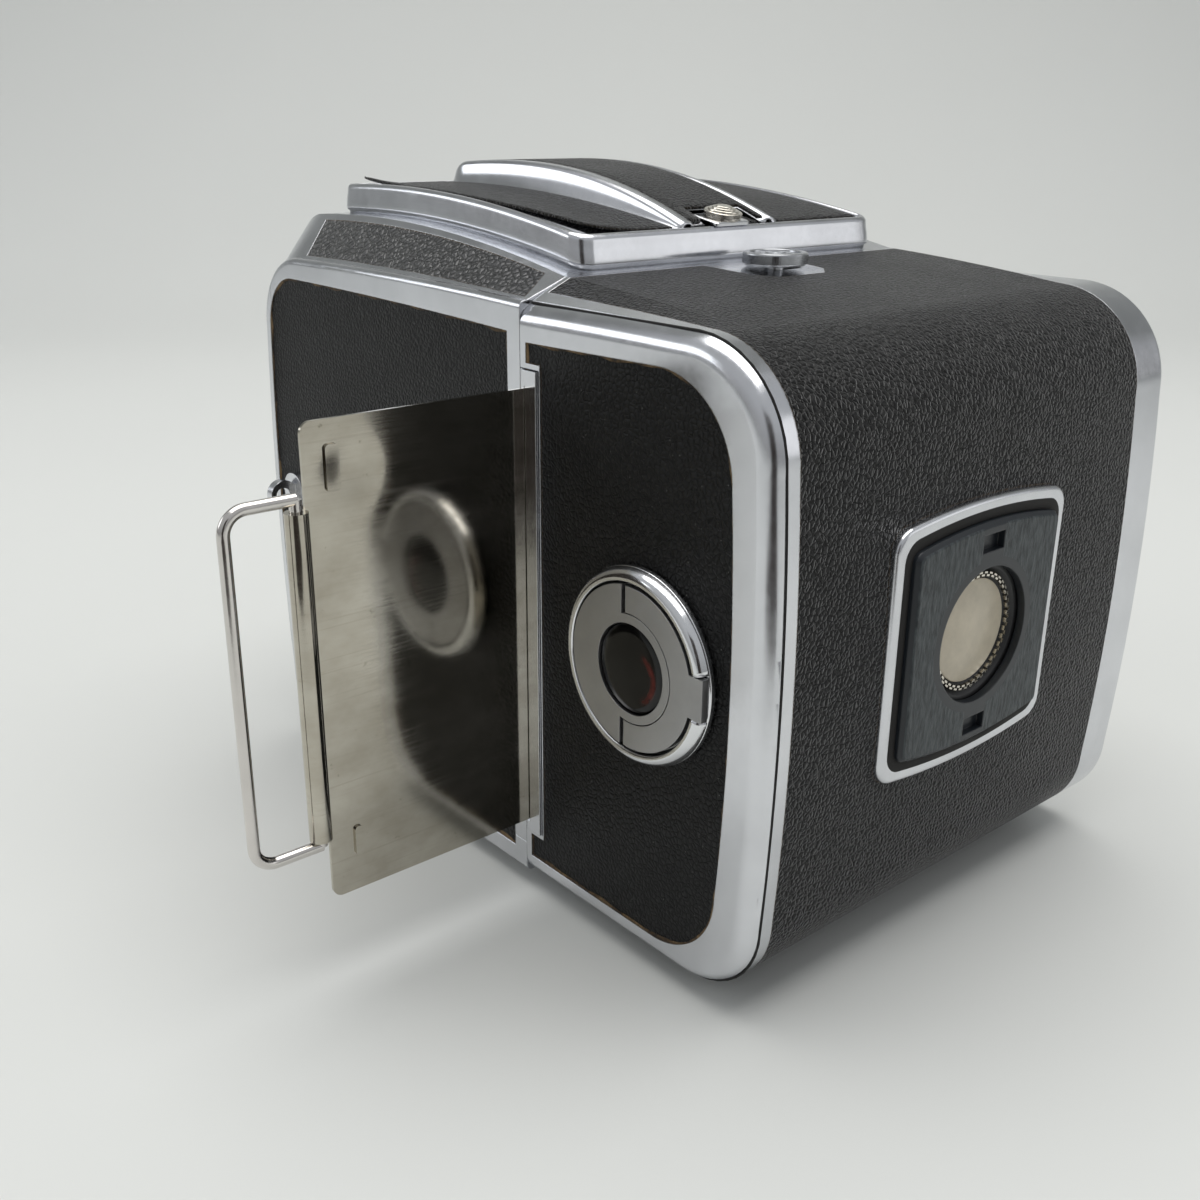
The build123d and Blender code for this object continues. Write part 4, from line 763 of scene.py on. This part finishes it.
def key_parts():
    """Bright ring of the key with a rounded flank, its dark floor and the window."""
    crown, flank_wide, bore = 12.9, 1.4, 12.35
    notch_x, notch_from, notch_sweep = KEY_FACE_X - 1.4, 13.7, 332.6
    floor_in, floor_out, floor_thick = 8.0, 12.4, 0.65
    place = along_x(0, KEY_Y, KEY_Z)
    tall = KEY_FACE_X - KEY_BASE_X
    flank = quarter(crown, KEY_BASE_X, flank_wide, tall, 0, 90, 10)
    edge = crown + flank_wide * math.sqrt(1 - ((notch_x - KEY_BASE_X) / tall) ** 2)
    upper = [p for p in flank if p[1] > notch_x]
    upper += [(12.5, KEY_FACE_X), (bore, KEY_FACE_X - 0.15), (bore, notch_x), (edge, notch_x)]
    lower = [(edge, notch_x), (bore, notch_x), (bore, KEY_BASE_X)]
    lower += [p for p in flank if p[1] < notch_x]
    bm = turned(bmesh.new(), upper, place, 120, notch_from, notch_sweep)
    turned(bm, lower, place, 132)
    ring = piece("key_outer_ring", bm, polished, "key")
    floor = [(floor_in, KEY_BASE_X), (floor_out, KEY_BASE_X),
             (floor_out, KEY_BASE_X + floor_thick), (floor_in, KEY_BASE_X + floor_thick)]
    ring_floor = piece("key_ring_floor", turned(bmesh.new(), floor, place), black_metal, "key")
    dome = [(r, KEY_FACE_X - sunk) for r, sunk in (
        (0.0, 0.18), (2.5, 0.2), (5.0, 0.29), (6.2, 0.38), (6.5, 0.6), (6.5, 1.7), (0.0, 1.7))]
    window = piece("key_window_glass", turned(bmesh.new(), dome, place), dark_window, "key")
    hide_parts("key_ring")
    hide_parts("key_ring")
    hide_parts("key_window")


key_parts()


# Joint and covering edges on the left side

def plate_joint():
    """Painted shadow in the joint round the bright side plate of the film insert."""
    rear, top, low = REAR_Y, MAG_TOP_Z, MAG_LOW_Z
    r_low, r_top = MAG_CORNER_LOW, MAG_CORNER_TOP
    run = run_of([
        (SEAM_Y + 0.3, low), ("arc", (rear - r_low, low + r_low), r_low, -90, 0),
        ("bow", (rear + REAR_SWELL, (low + top) / 2), (rear, top - r_top)),
        ("arc", (rear - r_top, top - r_top), r_top, 0, 90), (SEAM_Y + 0.3, top - 0.2)])
    bead = bead_line(resample(run, 1.0), PLATE_SEAM_X, lambda i: 0.16, 0.13)
    # Painted shadow: a thin dark bead along the joint.
    piece("side_plate_joint_shadow", bead, seam_shadow, "film_insert")


def insert_edge():
    """Frayed edge of the insert's covering, inside the bright border of its plate."""
    low, top = MAG_LOW_Z + 3.6, MAG_TOP_Z - 4.9
    front, rear = SEAM_Y + 1.2, REAR_Y - 6.8
    r_low, r_top = 12.5, 13.5
    start = (front, top - 0.5)
    run = run_of([
        start, (front, low), ("arc", (rear - r_low, low + r_low), r_low, -90, 0),
        ("bow", (rear + REAR_SWELL, (low + top) / 2), (rear, top - r_top)),
        ("arc", (rear - r_top, top - r_top), r_top, 0, 90), start])
    bead = bead_line(resample(run, 0.5)[:-1], PANEL_X, frayed(0.36, 0.2), 0.12, True)
    piece("insert_covering_edge", bead, aged_edge, "film_insert")


def body_edge():
    """Frayed edge of the covering on the body's left side."""
    front, rear = BODY_FRONT_Y + 2.2, SEAM_Y - 0.1 - 3.0
    low, top = 6.6, BODY_TOP_Z - 3.6
    r_low, r_top, front_bow, top_bow = 5.4, 9.4, 1.4, 0.35
    start = (rear, top - 1.3)
    run = run_of([
        start, (rear, low), (front + r_low, low),
        ("arc", (front + r_low, low + r_low), r_low, 270, 180),
        ("bow", (front - front_bow, (low + top) / 2), (front, top - r_top)),
        ("arc", (front + r_top, top - r_top), r_top, 180, 90),
        ("bow", ((front + r_top + rear) / 2, top - top_bow), start)])
    bead = bead_line(resample(run, 0.5)[:-1], PANEL_X, frayed(0.4, 0.26), 0.12, True)
    piece("left_covering_edge", bead, aged_edge, "camera_body")


plate_joint()
insert_edge()
body_edge()


# Hood

def rim_path(offset, draft):
    """Plan of the hood's rim, moved inwards by offset mm and, in front and behind, by the draft."""
    half = RIM_HALF - offset - 0.3 * draft
    return rounded(-half, half, RIM_FRONT_Y + offset + draft, RIM_REAR_Y - offset - draft,
                   max(0.8, RIM_CORNER - offset), 8, (24, 24, 24, 24))


def hood_frame():
    """Arched rim of the hood: narrow foot, upright wall and a full rounded top edge."""
    profile = [(0.5, 0.0, 0), (0.5, 0.4, 0), (0.02, 0.75, 0), (0.0, 1.1, 0), (0.0, 1.7, 0.05),
               (0.0, 2.3, 0.14), (0.0, 3.0, 0.28), (0.0, 3.7, 0.42)]
    profile += [(x, z, 0.42) for x, z in quarter(0.85, RIM_RISE - 1.0, 0.84, 1.0, 170, 90, 8)]
    profile += [(1.2, RIM_RISE - 0.02, 0.3), (1.58, RIM_RISE - 0.2, 0), (1.6, 2.5, 0),
                (1.6, 0.0, 0)]
    rows = [[mm(x, y, deck_z(y) + rise) for x, y in rim_path(offset, draft)]
            for offset, rise, draft in profile]
    bm = loft(bmesh.new(), rows, True, True)
    made = piece("hood_frame", bm, trim, "camera_body")
    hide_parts("hood_rim")


hood_frame()


def band_top(y):
    """Height of the raised band, which sinks to the rim at the rear and rounds off in front."""
    off = max(y, BAND_NOSE_Y) - BAND_TOP_Y
    z = BAND_TOP_Z - BAND_RADIUS + math.sqrt(BAND_RADIUS ** 2 - off ** 2)
    if y < BAND_NOSE_Y:
        z -= BAND_NOSE - math.sqrt(max(0.0, BAND_NOSE ** 2 - (BAND_NOSE_Y - y) ** 2))
    return z - BAND_SINK * progress(y, *BAND_SINK_Y) ** 2


def band_half(y, z):
    """Half width of the band at a height, with the draft of its walls and its rounded nose."""
    plan = BAND_WIDE - BAND_TAPER * (y - BAND_WIDE_Y)
    nose = min(1.0, progress(y, BAND_NOSE_Y, BAND_FRONT_Y))
    return (plan + BAND_FLARE - BAND_DRAFT * (z - BAND_DRAFT_Z)
            - BAND_NOSE_DRAW * (1 - math.sqrt(1 - nose ** 2)))


def lid_row(y, inset):
    """Cross-section of the lid at y as (x, z); inset is 0 for its outside and 1 for its inside."""
    wall, top_wall, least_rise = BAND_WALL * inset, 0.3 * inset, 0.04
    flat = deck_z(y) + WING_RISE - wall
    top = max(band_top(y) - top_wall, flat + least_rise)
    rise = top - flat
    round_off = min(BAND_ROUND, 0.85 * rise)
    foot = band_half(y, flat)
    side = [(LID_HALF, flat), (0.5 * (LID_HALF + foot), flat), (foot - wall + 0.5, flat),
            (foot - wall + BAND_FOOT, flat + min(BAND_FOOT, rise / 3))]
    side += quarter(band_half(y, top) - wall - round_off, top - round_off,
                    round_off, round_off, 0, 90, 6)
    inner = band_half(y, top) - BAND_LIP
    sink = BAND_RECESS if inset else min(BAND_RECESS, rise / 2)
    side += [(inner, top), (inner - 0.02, top - sink)]
    right = [(BAND_X + x if i > 1 else x, z) for i, (x, z) in enumerate(side)]
    left = [(BAND_X - x if i > 1 else -x, z) for i, (x, z) in enumerate(side)]
    middle = [(x, top - sink) for x in (NOTCH_HIGH_X, BAND_X + 0.1, NOTCH_LOW_X)]
    return right + middle + left[::-1]


def lid_steps():
    """Rows of the lid from front to rear, finer over the band's nose and at the notch."""
    made = [HINGE_Y + 0.3, BAND_FRONT_Y - 0.3]
    made += [BAND_FRONT_Y + BAND_NOSE * (1 - math.cos(math.radians(90 * i / 10)))
             for i in range(11)]
    made += [BAND_NOSE_Y + (NOTCH_Y - BAND_FRONT_Y - BAND_NOSE) * i / 40 for i in range(1, 41)]
    made += [NOTCH_Y + (LID_REAR_Y + 0.4 - NOTCH_Y) * i / 6 for i in range(1, 7)]
    return made


def sheet_with_notch(bm, outer, inner, steps, first, last):
    """Closed sheet between two sets of rows, open from column first to last behind NOTCH_Y."""
    tops, lows = ([[bm.verts.new(p) for p in row] for row in rows] for rows in (outer, inner))
    notch = next(j for j, y in enumerate(steps) if y > NOTCH_Y - 0.001)
    end, border = len(tops) - 1, len(tops[0]) - 1
    for j in range(end):
        for i in range(border):
            if j < notch or not first <= i < last:
                for rows in (tops, lows):
                    bm.faces.new((rows[j][i], rows[j][i + 1], rows[j + 1][i + 1],
                                  rows[j + 1][i]))
        for i in (0, border, first, last) if j >= notch else (0, border):
            bm.faces.new((tops[j][i], tops[j + 1][i], lows[j + 1][i], lows[j][i]))
    for i in range(border):
        for j in (0, notch) if first <= i < last else (0, end):
            bm.faces.new((tops[j][i], tops[j][i + 1], lows[j][i + 1], lows[j][i]))
    return bm


def lid_pressing():
    """Pressed lid with its hollow band, hinge barrel and the two lugs of the magnifier."""
    steps = lid_steps()
    outer, inner = ([[mm(x, y, z) for x, z in lid_row(y, inset)] for y in steps]
                    for inset in (0, 1))
    notch = (len(outer[0]) - 3) // 2
    bm = sheet_with_notch(bmesh.new(), outer, inner, steps, notch, notch + 2)
    barrel = [(0.66, -31.5), (0.66, 31.5), (0.9, 31.6), (1.05, 31.4), (1.05, -31.4), (0.9, -31.6)]
    turned(bm, barrel, along_x(0, HINGE_Y, HINGE_Z), 24)
    lug = [(15.6, 109.7), (12.4, 109.7), (12.4, 108.0)]
    lug += quarter(14.0, 107.6, 1.5, 1.5, 180, 360, 10) + [(15.6, 108.0)]
    for side in (-1, 1):
        x = BAND_X + side * LUG_OFF
        loft(bm, [[mm(x + k, y, z) for y, z in lug] for k in (-LUG_HALF, LUG_HALF)],
             True, capped=True)
    bmesh.ops.remove_doubles(bm, verts=bm.verts, dist=SAME_PLACE * MM)
    made = piece("lid_pressing", bm, trim, "hood_lid")
    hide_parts("hood_lid")


lid_pressing()


def band_sheet():
    """Covering in the band's recess, with its notch for the catch, and the strip beside it."""
    front_gap, rear_gap, side_gap = 2.5, 0.4, 0.05
    soft, edge_low, deep = 0.14, 0.12, 0.46
    bm = bmesh.new()
    steps = [y for y in lid_steps() if BAND_NOSE_Y + front_gap < y < LID_REAR_Y - rear_gap]
    tops, lows = [], []
    for y in steps:
        z = band_top(y)
        half = band_half(y, z) - BAND_LIP - side_gap
        xs = [BAND_X + half, BAND_X + half - 0.15, NOTCH_HIGH_X + 0.05, BAND_X,
              NOTCH_LOW_X - 0.02, BAND_X - half + 0.1, BAND_X - half]
        lift = [0.0] + [soft] * 5 + [0.0]
        tops.append([mm(x, y, z - edge_low + up) for x, up in zip(xs, lift)])
        lows.append([mm(x, y, z - deep) for x in xs])
    sheet_with_notch(bm, tops, lows, steps, 2, 4)
    strip = ((NOTCH_LOW_X - 0.05, 4.1), (-2.7, 4.1), (-2.62, 4.9), (-2.8, 5.0),
             (NOTCH_LOW_X + 0.1, 5.0), (NOTCH_LOW_X - 0.05, 4.9))
    ys = [NOTCH_Y - 0.1 + (LID_REAR_Y - 0.3 - NOTCH_Y) * i / 8 for i in range(9)]
    loft(bm, [[mm(x, y, deck_z(y) + z) for x, z in strip] for y in ys], True, capped=True)
    covering = piece("band_covering", bm, leather, "hood_lid")
    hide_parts("band_leather")


band_sheet()


def hood_catch():
    """Stepped button on a thin polished tab."""
    rows = []
    for inset, rise in ((0.12, 0.0), (0.0, 0.1), (0.0, 0.45), (0.22, 0.62)):
        plan = rounded(TAB_X[0] + inset, TAB_X[1] - inset, TAB_Y[0] + inset, TAB_Y[1] - inset,
                       TAB_CORNER - inset, 5)
        rows.append([mm(x, y, deck_z(y) + TAB_LOW + rise) for x, y in plan])
    bm = loft(bmesh.new(), rows, True, capped=True)
    tab = piece("hood_catch_tab", bm, polished, "hood_button", smooth=False)
    steps = [(0.0, -0.35), (2.55, -0.35), (2.6, 0.18), (3.0, 0.22), (3.1, 0.32), (3.1, 0.9),
             (3.0, 1.0), (2.55, 1.02), (2.5, 1.22), (2.4, 1.28), (1.95, 1.3), (1.9, 1.48),
             (1.8, 1.54), (1.35, 1.56), (1.3, 1.72), (1.2, 1.78), (0.0, 1.8)]
    slope = math.asin((BUTTON_Y - ARCH_TOP_Y) / ARCH_RADIUS)
    place = Matrix.Translation(mm(BAND_X, BUTTON_Y, deck_z(BUTTON_Y) + TAB_LOW + TAB_THICK))
    bm = turned(bmesh.new(), steps, place @ Matrix.Rotation(-slope, 4, "X"), 72)
    head = piece("hood_catch_head", bm, button_nickel, "hood_button",
                 smooth=False)
    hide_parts("hood_button")
    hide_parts("hood_button")


hood_catch()


# Buttons and dial of the magazine

def release_head():
    """Release button of the magazine: a rim round low steps, on its stem."""
    stem_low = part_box("magazine_release_button")[0].z / MM
    stem = [(0.0, stem_low), (1.5, stem_low), (1.5, RELEASE_Z)]
    head = [(4.7, 0.0), (4.75, 0.22), (5.0, 0.26), (5.1, 0.36), (5.1, 1.68), (5.02, 1.88),
            (4.85, 1.96), (4.1, 2.0), (3.95, 1.92), (3.85, 1.6), (3.2, 1.6), (3.15, 1.74),
            (2.45, 1.76), (2.4, 1.88), (1.7, 1.9), (1.65, 1.98), (0.7, 1.99), (0.6, 1.8),
            (0.0, 1.78)]
    profile = stem + [(r, RELEASE_Z + z) for r, z in head]
    place = Matrix.Translation(mm(RELEASE_X, RELEASE_Y, 0))
    made = piece("release_head", turned(bmesh.new(), profile, place), button_metal,
                 "magazine_button", smooth=False)
    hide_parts("magazine_release_button")


release_head()


def reminder_parts():
    """Cream disc deep in a black cup whose dark ring round it is painted shade of the recess, with
    two bright toothed rings round it.
    """
    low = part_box("reminder_dial")[0].y / MM
    place = Matrix.Translation(mm(DIAL_X, 0, DIAL_Z)) @ Matrix.Rotation(math.radians(-90), 4, "X")

    def dial_turned(profile, bm=None, **arc):
        raised = [(r, low + up) for r, up in profile]
        return turned(bmesh.new() if bm is None else bm, raised, place, **arc)

    disc = dial_turned([(0.0, 0.0), (7.8, 0.0), (7.8, 0.2), (7.65, 0.26), (0.0, 0.26)])
    cream_disc = piece("reminder_disc", disc, cream, "reminder_dial")
    # Painted shade: the black ring between the cream disc and the teeth stands for the shade inside
    # the dial's recess.
    wall = dial_turned([(7.8, 0.0), (11.5, 0.0), (11.5, 1.0), (9.7, 1.0), (9.5, 0.9),
                        (9.3, 0.2), (7.8, 0.15)])
    cup = piece("reminder_shade_cup", wall, black_metal, "reminder_dial")
    bm = bmesh.new()
    teeth, tooth_low, tooth_high = 42, 0.2, 0.75
    for i in range(teeth):
        for k, inner, outer in ((0, 8.62, 8.9), (1, 8.2, 8.5)):
            tooth = [(inner, tooth_low), (outer, tooth_low), (outer, tooth_high),
                     (inner, tooth_high)]
            dial_turned(tooth, bm, steps=2, start=360.0 * (i + 0.5 * k) / teeth - 0.3,
                        sweep=180.0 / teeth + 0.6)
    ring = piece("reminder_teeth", bm, button_nickel, "reminder_dial", smooth=False)
    for made in (cream_disc, cup, ring):
        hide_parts("reminder_dial")


reminder_parts()


def bowed_outline(half):
    """Square outline round the reminder with swelling upper and lower edges, as (x, z)."""
    low = half - FRAME_BOW
    plan = rounded(-half, half, -low, low, FRAME_CORNER, 6, (20, 1, 20, 1))
    return [(DIAL_X + x, DIAL_Z + z + math.copysign(FRAME_BOW * (1 - (x / half) ** 2), z))
            for x, z in plan]


def reminder_gap_shadow():
    """Painted shadow: a thin black ring in the gap between the reminder's frame and its raised
    block.
    """
    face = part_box("reminder_frame")[1].y / MM
    rows = [[mm(x, face + rise, z) for x, z in bowed_outline(half)] for half, rise in (
        (16.85, 0.02), (16.9, 0.05), (18.25, 0.05), (18.3, 0.02), (18.25, -0.05), (16.9, -0.05))]
    # Painted shadow along the frame's inner edge.
    piece("reminder_gap_shadow", loft(bmesh.new(), rows, True, True), seam_shadow, "magazine")


reminder_gap_shadow()


# Stage, camera and lights, in metres

def stage_material(name, colour):
    s = Shader(name)
    plain = s.ramp(s.noise(s.scaled(3), 2.0, 0.5), (0.3, darker(colour, 0.97)), (0.7, colour))
    # Painted shade: the backdrop grows darker with height.
    rise = s.ramp(s.axes()["Z"], (0.02, 0.0), (0.5, 1.0))
    s.set(Base_Color=s.mix(rise, plain, darker(colour, 0.8)))
    s.set(Roughness=0.6, Specular_IOR_Level=0.3)
    return s.mat


def make_floor():
    """Pale sweep: floor, curved rise and wall behind the object, seen from the camera."""
    reach, rise_at, radius, top, half = 1.6, 0.95, 0.45, 1.8, 3.0
    profile = [(-reach, 0.0), (rise_at - radius, 0.0)]
    for angle in [math.radians(90 * i / 16) for i in range(1, 17)]:
        profile.append((rise_at - radius + radius * math.sin(angle),
                        radius - radius * math.cos(angle)))
    profile.append((rise_at, top))
    bm = loft(bmesh.new(), [[(side, y, z) for y, z in profile] for side in (-half, half)])
    floor = mesh_object("sweep", bm, stage_material("pale_paper", PAPER))
    floor.rotation_euler = (0, 0, math.radians(139.5))


make_floor()


def make_camera():
    """The photograph's camera: its place, the directions of its frame and its lens."""
    data = bpy.data.cameras.new("camera")
    data.sensor_width = 36.0
    data.lens = 38.886
    data.clip_start = 0.01
    camera = bpy.data.objects.new("camera", data)
    bpy.context.collection.objects.link(camera)
    right = Vector((-0.7621, 0.6474, 0.0074)).normalized()
    forward = Vector((-0.6086, -0.7123, -0.3497)).normalized()
    up = right.cross(forward).normalized()
    right = forward.cross(up).normalized()
    turn = Matrix((right, up, -forward)).transposed().to_4x4()
    camera.matrix_world = Matrix.Translation((0.156, 0.18835, 0.11917)) @ turn
    bpy.context.scene.camera = camera


make_camera()


def softbox(name, place, aim, size, power, colour=(1, 1, 1)):
    data = bpy.data.lights.new(name, "AREA")
    data.shape = "RECTANGLE"
    data.size, data.size_y = size
    data.energy = power
    data.color = colour
    lamp = bpy.data.objects.new(name, data)
    bpy.context.collection.objects.link(lamp)
    lamp.location = place
    lamp.rotation_euler = (Vector(aim) - Vector(place)).to_track_quat("-Z", "Y").to_euler()


softbox("top_light", (-0.05, 0.0, 0.9), (0, 0, 0), (0.95, 0.95), 7.4, (1.0, 0.99, 0.97))
softbox("right_light", (-0.72, 0.86, 0.3), (0, 0, 0.1), (0.6, 0.5), 0.65)
softbox("left_light", (0.75, -0.75, 0.42), (0, 0, 0.1), (0.6, 0.36), 1.3, (0.94, 0.97, 1.0))


def dark_flag(name, corners):
    """Dark card beside the camera that only reflections see, as a studio flag."""
    steps = 8
    a, b, c, d = [Vector(p) for p in corners]
    rows = [[a.lerp(b, i / steps).lerp(d.lerp(c, i / steps), j / steps)
             for i in range(steps + 1)] for j in range(steps + 1)]
    card = mesh_object(name, loft(bmesh.new(), rows),
                       stage_material(name + "_cloth", (0.03, 0.022, 0.02)), smooth=False)
    card.visible_camera = False
    card.visible_diffuse = False
    card.visible_shadow = False


dark_flag("low_flag", [(0.09, 0.24, 0.001), (0.24, 0.11, 0.001), (0.5, 0.42, 0.001),
                       (0.36, 0.56, 0.001)])
dark_flag("back_flag", [(0.33, 0.56, 0.0), (0.52, 0.4, 0.0), (0.52, 0.4, 0.42),
                        (0.33, 0.56, 0.42)])


def make_world():
    """Room light: pale above, darker round the horizon."""
    world = bpy.data.worlds.new("studio")
    bpy.context.scene.world = world
    world.use_nodes = True
    tree = world.node_tree
    coord = tree.nodes.new("ShaderNodeTexCoord")
    split = tree.nodes.new("ShaderNodeSeparateXYZ")
    ramp = tree.nodes.new("ShaderNodeValToRGB")
    stops = ((0.0, (0.5, 0.505, 0.51, 1)), (0.5, (0.75, 0.77, 0.79, 1)))
    for element, (place, colour) in zip(ramp.color_ramp.elements, stops):
        element.position = place
        element.color = colour
    tree.links.new(coord.outputs["Generated"], split.inputs[0])
    tree.links.new(split.outputs["Z"], ramp.inputs["Fac"])
    tree.links.new(ramp.outputs["Color"], tree.nodes["Background"].inputs["Color"])
    tree.nodes["Background"].inputs["Strength"].default_value = 0.62


make_world()
bpy.context.scene.view_settings.view_transform = "Standard"
